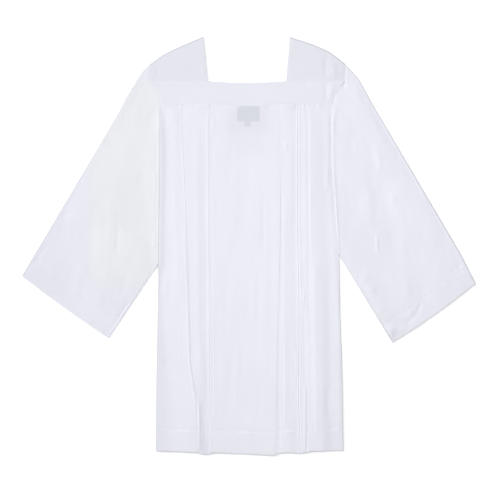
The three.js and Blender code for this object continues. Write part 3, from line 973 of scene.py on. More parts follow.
@dataclass
class FrontBody:
    """The front from the yoke down, with its pleats folded into one sheet.

    Attributes:
        row_step: The distance between rows in the middle of the cloth.
        column_step: The distance between columns in the middle of a stretch.
        seam_fade: How far below the yoke the pleats are pressed thin.
        side_rounding: How long the rounding of the open side edges is.
        side_level: How high the cloth's middle lies at those edges.
        side_fade: How far below the underarm they reach that level.
        tuck: How far a gap's cloth takes to come out from under its folds.
        fold_steps: How many straight sides each turn of a fold has.
        hidden_nose: How long the rounding of a pleat's hidden turn is.
        hidden_drop: How much less a pleat's hidden cloth hangs down.
        nose_from: Where the folds start to change from their low noses to their high ones.
        nose_fade: How far above it that change ends.
        hem_step: How much the doubled hem stands up.
        hem_step_reach: How far it takes to do so.
        edge_dip: How deep the hem's edge turns down.
        edge_dip_width: How far from the edge it does so.
        painted_side_shades: The side edges' sides, columns, reaches and shares of painted shade.
        painted_fold_tones: The lines, offsets, reaches and shares of painted shade beside the
            folds, which are negative where a painted highlight lightens it.
        crumple: The unevenness of the whole front.
        falls: How each side panel rises from its seam to its fold: down it, where a first
            rise starts and ends, where a second does, and how much lower than the top the
            cloth lies between them.
        drops: How far below the hem's edge each stretch hangs.
        sags: How much lower than the top each stretch lies at its two ends, down it.
        reliefs: The creases of each stretch.
    """

    row_step: float = 6.6
    column_step: float = 3.4
    seam_fade: float = 46.0
    side_rounding: float = 1.4
    side_level: float = 0.85
    side_fade: float = 30.0
    tuck: float = 1.3
    fold_steps: int = 6
    hidden_nose: float = 1.2
    hidden_drop: float = 1.5
    nose_from: float = 100.0
    nose_fade: float = 60.0
    hem_step: float = 0.16
    hem_step_reach: float = 8.0
    edge_dip: float = 0.3
    edge_dip_width: float = 1.4
    painted_side_shades: tuple[tuple[Side, int, float, float], ...] = (
        (LEFT, 0, 2.4, 1.0),
        (RIGHT, -1, 1.3, 0.3),
    )
    painted_fold_tones: tuple[tuple[str, float, float, float], ...] = (
        ("outer_left", -0.8, 1.3, -0.28),
        ("inner_left", 0.0, 2.0, 0.34),
        ("inner_right", 0.5, 1.4, -0.3),
        ("strip_left", -1.1, 1.4, 0.2),
        ("strip_right", 1.4, 2.2, -0.36),
        ("outer_right", -4.8, 2.0, -0.33),
        ("outer_right", -0.7, 1.4, 0.42),
    )
    crumple: Crumple = Crumple(seed=8, rise=0.36)
    falls: dict[Zone, tuple[tuple[float, ...], ...]] = field(default_factory=lambda: {
        Zone.LEFT_SIDE: (
            (312, -194.5, -184, -188, -160, 1.7),
            (180, -195, -180, -182, -135, 2.2),
            (-40, -199, -185, -185, -140, 2.1),
            (-90, -203, -194, -190, -150, 1.2),
            (-200, -205, -182, -184, -128, 1.2),
            (-449, -205, -168, -178, -122, 1.1),
        ),
        Zone.RIGHT_SIDE: (
            (312, 185, 170, 165, 137, 0.9),
            (189, 181, 172, 170, 138, 2.0),
            (79, 190, 180, 176, 140, 2.2),
            (0, 197, 186, 180, 146, 2.3),
            (-140, 202, 192, 180, 157, 3.0),
            (-449, 208, 198, 185, 159, 3.2),
        ),
    })
    drops: dict[Zone, tuple[float, ...]] = field(default_factory=lambda: {
        Zone.LEFT_SIDE: (2.0, 5.5),
        Zone.LEFT_INSET: (7.0, 11.0, 10.0),
        Zone.CENTRE: (5.5, 8.5, 12.0),
        Zone.NARROW_GAP: (9.0, 8.0, 7.0),
        Zone.STRIP: (6.0, 5.5, 7.5),
        Zone.RIGHT_GAP: (7.5, 6.0, 5.0),
        Zone.RIGHT_SIDE: (2.5, 2.0),
    })
    sags: dict[Zone, tuple[tuple[float, float, float], ...]] = field(default_factory=lambda: {
        Zone.LEFT_INSET: (
            (312, 0.0, 0.4), (262, 0.3, 1.4), (0, 0.45, 1.8), (-250, 0.5, 2.0), (-449, 1.2, 3.4)),
        Zone.CENTRE: ((312, 0.0, 0.0), (-449, 0.0, 0.0)),
        Zone.NARROW_GAP: ((312, 0.0, 0.0), (150, 0.0, 0.0), (100, 0.5, 0.6), (-449, 0.65, 1.5)),
        Zone.STRIP: ((312, 0.0, 0.1), (260, 0.0, 0.4), (-449, 0.0, 0.6)),
        Zone.RIGHT_GAP: ((312, 0.3, 0.5), (260, 0.55, 1.1), (-449, 0.55, 1.2)),
    })
    reliefs: dict[Zone, Relief] = field(default_factory=lambda: {
        Zone.LEFT_SIDE: Relief(
            creases=(
                Crease(((-154, 309.5), (-130, 309.5)), 1.1, 5.0, 8, lean=0.6),
                Crease(((-183, 299), (-164, 285), (-147, 274)), 0.7, 5, 14),
                Crease(((-143.5, 50), (-139, -40), (-135, -141), (-132, -251), (-126, -295),
                        (-120, -339), (-118, -380)), 0.5, 2.2, 60),
                Crease(((-113, -350), (-110, -470)), -0.6, 9, 50),
                Crease(((-167, -407), (-122, -408)), 0.6, 3.4, 10, lean=0.5),
                Crease(((-160, 284), (-158, 174)), 0.5, 5, 30, lean=0.3),
                Crease(((-154.5, 290), (-153.5, 258)), -0.5, 2.5, 12),
                Crease(((-183, -66), (-182, -114)), 0.7, 3, 18),
                Crease(((-168, -12), (-161, -14)), -0.5, 3, 4),
                Crease(((-193, -200), (-186, -210), (-180, -228)), -0.9, 3, 8, wander=0.8),
                Crease(((-190, -216), (-182, -205)), 0.6, 2.6, 5),
                Crease(((-188, -254), (-176, -262)), -0.9, 7, 9),
            ),
        ),
        Zone.LEFT_INSET: Relief(
            creases=(
                Crease(((-118, 309.0), (-98, 309.5), (-80, 311)), 1.2, 5.0, 8, lean=0.6),
                Crease(((-114, 270), (-113, 20), (-111, -180), (-104, -300)), 0.75, 8, 50),
                Crease(((-91.0, 294), (-90.4, 60), (-88.4, -100), (-87.6, -389)), 0.9, 2.2, 14),
                Crease(((-110, -330), (-109, -459)), 1.1, 2.4, 20),
                Crease(((-99, -330), (-97, -459)), -0.6, 3.5, 30),
                Crease(((-124, -300), (-112, -350), (-108, -410)), 0.8, 2.4, 25, wander=1.0),
            ),
        ),
        Zone.CENTRE: Relief(
            creases=(
                Crease(((-28, 309.5), (44, 309.5)), 1.7, 5.0, 10, lean=0.6),
                Crease(((-28, -411), (15, -413)), 0.7, 3.4, 10, lean=0.5),
                Crease(((66, 309), (69, 309)), 0.6, 2.2, 1),
                Crease(((-79, 288), (-78.5, 244)), 0.7, 2.6, 14, lean=0.3),
                Crease(((-73.5, 212), (-73, 172)), 0.8, 3.0, 12, lean=0.3),
                Crease(((-78, 160), (-76, -420)), 0.3, 4.2, 60, lean=0.3),
                Crease(((-48, 262), (-18, 240), (20, 236), (44, 258)), -0.45, 12, 20),
                Crease(((30, 106), (31, -22)), -0.65, 3.6, 22, lean=-0.4),
                Crease(((12, -48), (13, -172)), 0.5, 7, 22, lean=0.55),
                Crease(((-28, -196), (-26, -380)), 0.42, 9, 30),
                Crease(((-29, -208), (-29, -215)), 0.5, 2.6, 3),
                Crease(((-29, -272), (-29, -279)), 0.32, 2.4, 3),
                Crease(((-29, -313), (-29, -321)), 0.5, 2.6, 3),
                Crease(((-28, -355), (-28, -363)), 0.5, 2.6, 3),
                Crease(((-55, -95), (-48, -130)), -0.5, 7, 14),
                Crease(((46, 130), (50, -40), (46, -320)), -0.4, 9, 60),
            ),
        ),
        Zone.NARROW_GAP: Relief(),
        Zone.STRIP: Relief(
            creases=(
                Crease(((64, 310), (108, 309)), 1.1, 5.0, 12, lean=0.6),
                Crease(((76, -408), (104, -408)), 0.8, 3.4, 10, lean=0.5),
                Crease(((80, 229), (80, 206)), 1.5, 3.2, 8, lean=-0.5),
                Crease(((78, 140), (77, -60), (78, -430)), 0.45, 4.5, 60, lean=-0.5),
                Crease(((92, 280), (94, 40)), 0.4, 7, 60),
                Crease(((88, -150), (90, -420)), -0.35, 6, 60, wander=1.0),
                Crease(((100, -190), (104, -260), (99, -330)), 0.5, 3.5, 30, wander=1.5),
            ),
        ),
        Zone.RIGHT_GAP: Relief(
            creases=(
                Crease(((119, -88), (123, -112), (120, -134)), 0.9, 2.4, 10, wander=0.8),
                Crease(((114, -96), (117, -120)), 0.6, 2.0, 8),
                Crease(((124, -300), (123.6, -458)), 1.2, 2.0, 20),
            ),
        ),
        Zone.RIGHT_SIDE: Relief(
            creases=(
                Crease(((148, 309.5), (163, 309.5)), 1.1, 5.0, 7, lean=0.6),
                Crease(((184, -404), (204, -403)), 0.6, 3.4, 7, lean=0.5),
                Crease(((129.6, 300), (130.2, 40), (132.5, -170)), -0.25, 1.9, 30),
                Crease(((134.5, 300), (135.5, 60), (139.0, -40)), 0.42, 4.5, 30, lean=-0.5),
                Crease(((194, -50), (198, -250), (200, -440)), 0.45, 5, 60, lean=0.2),
                Crease(((143, -10), (147, -250), (149, -446)), 0.9, 7.5, 60),
                Crease(((171, -300), (173, -392)), -0.9, 7, 24),
                Crease(((173, 180), (171, 118)), 0.8, 4.0, 20),
                Crease(((160, -398), (167, -406)), 0.7, 2.0, 4),
                Crease(((158, -406), (165, -399)), -0.6, 1.8, 4),
            ),
        ),
    })

    def rows(self) -> Array:
        """The heights of the rows, closer together at the yoke, the hem line and the hem."""
        upper = stops(PANEL_TOP - HEM_LINE, self.row_step, fine=1.3, edge=9.0)
        lower = stops(HEM_DEPTH, self.row_step, fine=1.1, edge=5.0)
        above = mix(PANEL_TOP, HEM_LINE, upper)
        below = mix(HEM_LINE, HEM_EDGE, lower)
        return np.concatenate([above, below[1:]])

    def layer(self, run: Array, level: float, y: Array) -> Array:
        """How high a layer of the pleats lies.

        Args:
            run: Where the layer is, across the front.
            level: 0 for the lowest layer, 2 for the highest.
            y: The rows' heights.

        Returns:
            Its z in each row.
        """
        pressed = smooth((y - PANEL_TOP + self.seam_fade) / self.seam_fade)
        pitch = mix(PITCH, PRESSED_PITCH, pressed)
        top = mix(TOP, seam_height(run), pressed)
        return top - (2 - level) * pitch

    def turn(
        self, fold: Array, way: int, nose: Array, level: float, y: Array
    ) -> list[tuple[Array, Array]]:
        """The points round a folded edge, from one layer down to the next.

        Args:
            fold: Where the edge lies in each row.
            way: 1 where the cloth lies to its right, -1 to its left.
            nose: How long the rounding is.
            level: The upper layer's level.
            y: The rows' heights.

        Returns:
            Pairs of run and z, from the upper layer to the lower.
        """
        upper = self.layer(fold, level, y)
        lower = self.layer(fold, level - 1, y)
        pairs = []
        for k in range(self.fold_steps + 1):
            angle = math.pi * (0.5 + k / self.fold_steps)
            run = fold + way * nose * (1 + math.cos(angle))
            z = mix(lower, upper, 0.5 + 0.5 * math.sin(angle))
            pairs.append((run, z))
        return pairs

    def pleat(
        self, fold: Array, way: int, underlay: float, nose: Array, drop: float, zone: Zone, y: Array
    ) -> list[Column]:
        """Both turns of a folded edge and the hidden cloth between them.

        Args:
            fold: Where the edge lies in each row.
            way: 1 where the cloth lies to its right, -1 to its left.
            underlay: How far the hidden cloth runs in under it.
            nose: How long its rounding is.
            drop: How far below the hem's edge it hangs.
            zone: The stretch that it ends.
            y: The rows' heights.

        Returns:
            The columns, from the top layer down.
        """
        drops = np.full_like(y, drop)
        outer = self.turn(fold, way, nose, 2, y)
        hidden = np.full_like(y, self.hidden_nose)
        inner = self.turn(fold + way * underlay, -way, hidden, 1, y)
        columns = [Column(run, z, drops, zone) for run, z in outer]
        for start, end, level in ((outer[-1], inner[0], 1), (inner[-1], outer[-1], 0)):
            if level == 0:
                columns += [Column(run, z, drops - self.hidden_drop, zone) for run, z in inner]
            for share in (0.2, 0.4, 0.6, 0.8):
                run = mix(start[0], end[0], share)
                z = self.layer(run, level, y)
                columns.append(Column(run, z, drops - self.hidden_drop * share, zone))
        return columns

    def side_panel(
        self, seam: Array, fold: Array, way: int, nose: Array, zone: Zone, y: Array
    ) -> list[Column]:
        """A side panel.

        Args:
            seam: Where its seam lies in each row.
            fold: Where its folded edge lies.
            way: 1 on the right, -1 on the left.
            nose: How long the rounding of the fold is.
            zone: Which side it is.
            y: The rows' heights.

        Returns:
            Its columns from the seam to the fold.
        """
        edge = fold + way * nose
        side = LEFT if way < 0 else RIGHT
        open_side = smooth((side.underarm - y) / self.side_fade)
        drops = self.drops[zone] if way < 0 else self.drops[zone][::-1]
        table = np.array(self.falls[zone])
        start, stop, start2, stop2, depth = (
            np.interp(-y, -table[:, 0], table[:, k]) for k in range(1, 6))
        low = side.seam_height(y)
        first = -depth if way < 0 else TOP - low - depth
        pressed = smooth((y - PANEL_TOP + self.seam_fade) / self.seam_fade)
        columns = []
        width = float(np.abs(edge - seam).mean())
        for share in stops(width, self.column_step, fine=0.9, edge=14.0)[:-1]:
            run = mix(seam, edge, share)
            z = low + first * smooth((run - start) / (stop - start))
            z = z + (TOP - low - first) * smooth((run - start2) / (stop2 - start2))
            z = mix(z, seam_height(run), pressed)
            away = np.abs(run - seam)
            rounded = 1 - np.sqrt(1 - np.clip(1 - away / self.side_rounding, 0, 1) ** 2)
            z = mix(z, self.side_level, open_side * rounded)
            columns.append(Column(run, z, np.full_like(y, mix(drops[0], drops[1], share)), zone))
        return columns

    def stretch(
        self, start: Array, end: Array, zone: Zone, dome: float, under: bool, y: Array
    ) -> list[Column]:
        """An open stretch between two pleats.

        Args:
            start: Where it starts in each row.
            end: Where it ends.
            zone: Which stretch it is.
            dome: How much its middle stands up.
            under: Whether it comes out from under the pleats, not from over them.
            y: The rows' heights.

        Returns:
            Its columns from start to end.
        """
        width = np.abs(end - start)
        drops = self.drops[zone]
        heights, near, far = (np.array(part, float) for part in zip(*self.sags[zone]))
        near = np.interp(-y, -heights, near)
        far = np.interp(-y, -heights, far)
        columns = []
        for share in stops(float(width.mean()), self.column_step, fine=1.0, edge=7.0)[1:-1]:
            run = mix(start, end, share)
            reach = np.minimum(self.tuck, width / 3)
            after, before = smooth(share * width / reach), smooth((1 - share) * width / reach)
            sag = mix(near, far, smooth(share))
            z = self.layer(run, 2, y) + dome * math.sin(math.pi * share) ** 2
            if under:
                tucked = z - self.layer(run, 0, y)
                z = z - tucked * (2 - after - before) - sag * after * before
            else:
                z = z - sag * smooth(share)
            if share < 0.5:
                drop = mix(drops[0], drops[1], 2 * share)
            else:
                drop = mix(drops[1], drops[2], 2 * share - 1)
            columns.append(Column(run, z, np.full_like(y, drop), zone))
        return columns

    def section(self, y: Array) -> list[Column]:
        """All columns across the front, from side seam to side seam."""
        at = {name: LINES.at(name, y) for name in LINES.columns[1:]}
        risen = smooth((y - self.nose_from) / self.nose_fade)
        noses = [mix(*fold.noses, risen) for fold in FOLDS]
        first, last = FOLDS[0], FOLDS[-1]
        columns = self.side_panel(at["left"], at[first.line], -1, noses[0], first.zone, y)
        for k, fold in enumerate(FOLDS):
            edge, nose = at[fold.line], noses[k]
            over = fold.way > 0
            drop = self.drops[fold.zone][0 if over else -1]
            pleat = self.pleat(edge, fold.way, fold.underlay, nose, drop, fold.zone, y)
            columns += pleat[::-1] if over else pleat
            if fold.after is None:
                continue
            beyond = at[FOLDS[k + 1].line]
            if over:
                edge, beyond = edge + nose, beyond - noses[k + 1]
            columns += self.stretch(edge, beyond, fold.after, fold.dome, not over, y)
        columns += self.side_panel(at["right"], at[last.line], 1, noses[-1], last.zone, y)[::-1]
        return columns

    def places(self) -> Array:
        """The front's points, by row, column and axis."""
        y = self.rows()
        hang = (PANEL_TOP - y) / (PANEL_TOP - HEM_EDGE)
        seam = Pucker(dip=-0.3, width=2.2, ripple=0.22, spacing=10.5, reach=9.0)
        hem = Pucker(dip=0.2, width=1.3, ripple=0.17, spacing=12.0, reach=7.0)
        lines = []
        for column in self.section(y):
            x = column.run
            hung = y - column.drop * hang
            z = column.z + self.reliefs[column.zone].height(x, hung) + self.crumple.height(x, hung)
            z += seam.height(PANEL_TOP - y, x)
            z += hem.height(y - HEM_LINE, x)
            z += self.hem_step * smooth((HEM_LINE - y) / self.hem_step_reach)
            z -= self.edge_dip * bell((y - HEM_EDGE) / self.edge_dip_width)
            lines.append(np.stack([x, hung, z], axis=-1))
        return np.stack(lines, axis=1)

    def edges(self, places: Array) -> Array:
        """The painted shade at the hem's edge, the open sides and the folds' lines, and painted
        highlights beside some folds.
        """
        x, y = places[..., 0], places[..., 1]
        rows = self.rows()[:, None]
        # Painted shade along the hem's edge and the open sides; beside the folds painted shade, and
        # painted highlights where the shares are negative.
        turned = bell((rows - HEM_EDGE) / 0.9)
        for side, column, reach, share in self.painted_side_shades:
            away = np.abs(x - x[:, column:][:, :1])
            below = smooth((side.underarm - y) / 20.0)
            turned = np.maximum(turned, bell(away / reach) * below * share)
        for name, offset, reach, share in self.painted_fold_tones:
            turned = turned + share * bell((x - LINES.at(name, rows) - offset) / reach)
        return turned

    def build(self, finish: bpy.types.Material) -> bpy.types.Object:
        """Makes the front in place of its solid."""
        places = self.places()
        sheet = Sheet("front_body", "front_panel", places, edge=self.edges(places))
        return sheet.build(finish, "cloth")


# --------------------------------------------------------------------- the back body


@dataclass
class BackBody:
    """The back from the yoke down, plain, flat on the table."""

    columns: int = 54
    row_step: float = 9.0

    def build(self, finish: bpy.types.Material) -> bpy.types.Object:
        """Makes the back in place of its solid."""
        shares = stops(PANEL_TOP - HEM_EDGE, self.row_step, fine=1.6, edge=5.0)
        y = mix(PANEL_TOP, HEM_EDGE, shares)[:, None]
        across = np.linspace(0.0, 1.0, self.columns)[None, :]
        x = mix(LINES.at("left", y), LINES.at("right", y), across)
        z = np.full_like(x, CLOTH / 2)
        places = np.stack([x, np.broadcast_to(y, x.shape), z], axis=-1)
        return Sheet("back_body", "back_panel", places).build(finish, "cloth")


# ---------------------------------------------------------------------------- the yoke


@dataclass
class Band:
    """A doubled band of the yoke, from armhole to armhole under the neck.

    Attributes:
        name: The piece's name.
        node: The solid that it stands for.
        front: Whether it is the front band, which rises over the pleats.
        step: The distance between points in its middle.
        creases: What lifts the front band off its plain form.
    """

    name: str
    node: str
    front: bool
    step: float = 3.0
    creases: Relief = Relief(
        creases=(
            Crease(((-188, 356), (-160, 357)), 0.7, 3.0, 12, wander=0.8),
            Crease(((-150, 319), (-134, 318)), 0.4, 2.6, 8),
            Crease(((-104, 316), (-92, 320), (-78, 323)), 0.6, 2.6, 12),
            Crease(((64, 319), (90, 317), (110, 315.5)), 0.4, 2.4, 12),
            Crease(((169, 362), (170, 318)), -0.9, 4.0, 8),
            Crease(((184, 362), (180, 326)), 1.0, 5.0, 10),
            Crease(((125, 362), (124.5, 350)), -0.7, 1.6, 4),
            Crease(((-60, 340), (40, 338)), -0.25, 9, 30),
        ),
        crumple=Crumple(seed=55, rise=0.26, heading=80.0),
    )

    def patch(self) -> Patch:
        """The band's outline in plan."""
        seam = PANEL_TOP - SEAM_LAP
        first, last = LINES.rows[0][1], LINES.rows[0][-1]
        left = Route([LEFT.strap_corner, LEFT.band_corner, (first, seam)])
        right = Route([RIGHT.strap_corner, RIGHT.band_corner, (last, seam)])
        x0, x1 = LEFT.neck_corner[0], RIGHT.neck_corner[0]

        def near(across: Any) -> Array:
            """The neck edge, which sags between the straps."""
            x = mix(LEFT.strap_corner[0], RIGHT.strap_corner[0], np.asarray(across, float))
            neck = np.clip((x - x0) / (x1 - x0), 0.0, 1.0)
            return np.stack([x, STRAP_SEAM - NECK_SAG * np.sin(math.pi * neck)], axis=-1)

        def far(across: Any) -> Array:
            """The seam over the panels."""
            x = mix(first, last, np.asarray(across, float))
            return np.stack([x, np.full_like(x, seam)], axis=-1)

        return Patch(near, far, left.at, right.at)

    def places(self) -> Array:
        """The band's points, by row, column and axis."""
        width = RIGHT.strap_corner[0] - LEFT.strap_corner[0]
        corners = [(side.neck_corner[0] - LEFT.strap_corner[0]) / width for side in (LEFT, RIGHT)]
        spread = stops(width, self.step, fine=1.0, edge=6.0)
        across = with_corners(spread, corners, clear=1.2 / width)
        depth = STRAP_SEAM - PANEL_TOP
        bends = [
            Route([side.strap_corner, side.band_corner, (line, PANEL_TOP)]).shares[1]
            for side, line in ((LEFT, LINES.rows[0][1]), (RIGHT, LINES.rows[0][-1]))
        ]
        spread = stops(depth, self.step, fine=0.8, edge=6.0)
        down = with_corners(spread, sorted(set(bends)), clear=0.5 / depth)
        a, d = np.meshgrid(across, down)
        plan = self.patch().at(a, d)
        x, y = plan[..., 0], plan[..., 1]
        if not self.front:
            return np.stack([x, y, np.full_like(x, DOUBLED / 2)], axis=-1)
        z = mix(LOWEST_BAND, seam_height(mix(LINES.rows[0][1], LINES.rows[0][-1], a)), smooth(d))
        z += self.creases.height(x, y)
        neck = (x > LEFT.neck_corner[0]) & (x < RIGHT.neck_corner[0])
        seam = Pucker(dip=0.0, width=1.9, ripple=0.2, spacing=10.5, reach=7.0)
        rim = Pucker(dip=0.3, width=1.5, ripple=0.05, spacing=14.0, reach=5.0)
        from_neck = d * depth
        z += seam.height((1 - d) * depth, x)
        z += np.where(neck, rim.height(from_neck, x), STRAP_LAP.height(from_neck, x))
        ends = np.minimum(a, 1 - a) * width
        z -= ARMHOLE_DIP * bell(ends / ARMHOLE_DIP_WIDTH)
        return np.stack([x, y, z], axis=-1)

    def build(self, finish: bpy.types.Material) -> bpy.types.Object:
        """Makes the band in place of its solid."""
        return Sheet(self.name, self.node, self.places(), DOUBLED).build(finish, "cloth")


@dataclass
class Strap:
    """A doubled strap, folded over the shoulder from the back band to the front band.

    Attributes:
        name: The piece's name.
        node: The solid that it stands for.
        side: Its side's corners and edges.
        relief: The creases of its front.
        hollow: From the middle of its back to that of its front, at the shoulder.
        nose: How long the rounding of its fold is.
        dome: How much the middle of its front stands up.
        fold_reach: How far from the fold its creases reach their full height.
        length: About how long it is from the fold to the seam.
        row_step: The distance between rows in its middle.
        column_step: The distance between columns in its middle.
    """

    name: str
    node: str
    side: Side
    relief: Relief
    hollow: float = 2.1
    nose: float = 3.0
    dome: float = 0.9
    fold_reach: float = 9.0
    length: float = 80.0
    row_step: float = 3.6
    column_step: float = 3.2

    def down(self) -> Array:
        """The front's columns, as shares of the way from the fold to the seam."""
        return stops(self.length, self.column_step, fine=1.0, edge=5.0)

    def places(self) -> Array:
        """The strap's points, by row, column and axis. Its rows run from neck to arm."""
        side = self.side
        shoulder = Route(catmull([side.neck_tip, *side.shoulder, side.strap_end], 40))
        seam = STRAP_SEAM - SEAM_LAP
        plan = Patch(
            near=shoulder.at,
            far=Route([(side.neck_corner[0], seam), (side.strap_corner[0], seam)]).at,
            start=Route([side.neck_tip, (side.neck_corner[0], seam)]).at,
            end=Route([side.strap_end, (side.strap_corner[0], seam)]).at,
        )
        width = shoulder.length
        across = stops(width, self.row_step, fine=1.0, edge=6.0)[:, None]
        length = np.linalg.norm(plan.at(across, 1.0) - plan.at(across, 0.0), axis=-1)
        down = self.down()[None, :]
        low = DOUBLED / 2
        run_back = mix(length, self.nose, down[:, :-1])
        z_back = np.full_like(run_back, low)
        angles = np.broadcast_to(half_turn(), (len(across), TURN_COLUMNS))
        run_turn = self.nose * (1 - np.cos(angles))
        z_turn = low + self.hollow * (0.5 + 0.5 * np.sin(angles))
        run_front = mix(self.nose, length, down)
        dome = self.dome * np.sin(math.pi * down) * np.sin(math.pi * across)
        z_front = low + self.hollow + dome
        run = np.concatenate([run_back, run_turn, run_front], axis=1)
        z = np.concatenate([z_back, z_turn, z_front], axis=1)
        xy = plan.at(np.broadcast_to(across, run.shape), run / length)
        front = np.concatenate([
            np.zeros_like(run_back), np.zeros_like(run_turn), np.ones_like(run_front)
        ], axis=1)
        fall = smooth(run / self.fold_reach)
        z = z + front * fall * self.relief.height(xy[..., 0], xy[..., 1])
        rim = Pucker(dip=0.3, width=1.5, ripple=0.06, spacing=13.0, reach=5.0)
        z = z + front * fall * STRAP_LAP.height(length - run, xy[..., 0])
        z = z + front * fall * rim.height(across * width, run)
        z = z - front * fall * ARMHOLE_DIP * bell((1 - across) * width / ARMHOLE_DIP_WIDTH)
        return np.concatenate([xy, z[..., None]], axis=-1)

    def build(self, finish: bpy.types.Material) -> bpy.types.Object:
        """Makes the strap in place of its solid."""
        places = self.places()
        # Painted shade along the strap's fold over the shoulder.
        turned = np.zeros(places.shape[:2])
        back = len(self.down()) - 1
        turned[:, back:back + TURN_COLUMNS] = 1.0
        return Sheet(self.name, self.node, places, DOUBLED, edge=turned).build(finish, "cloth")


# -------------------------------------------------------------------------- the sleeves


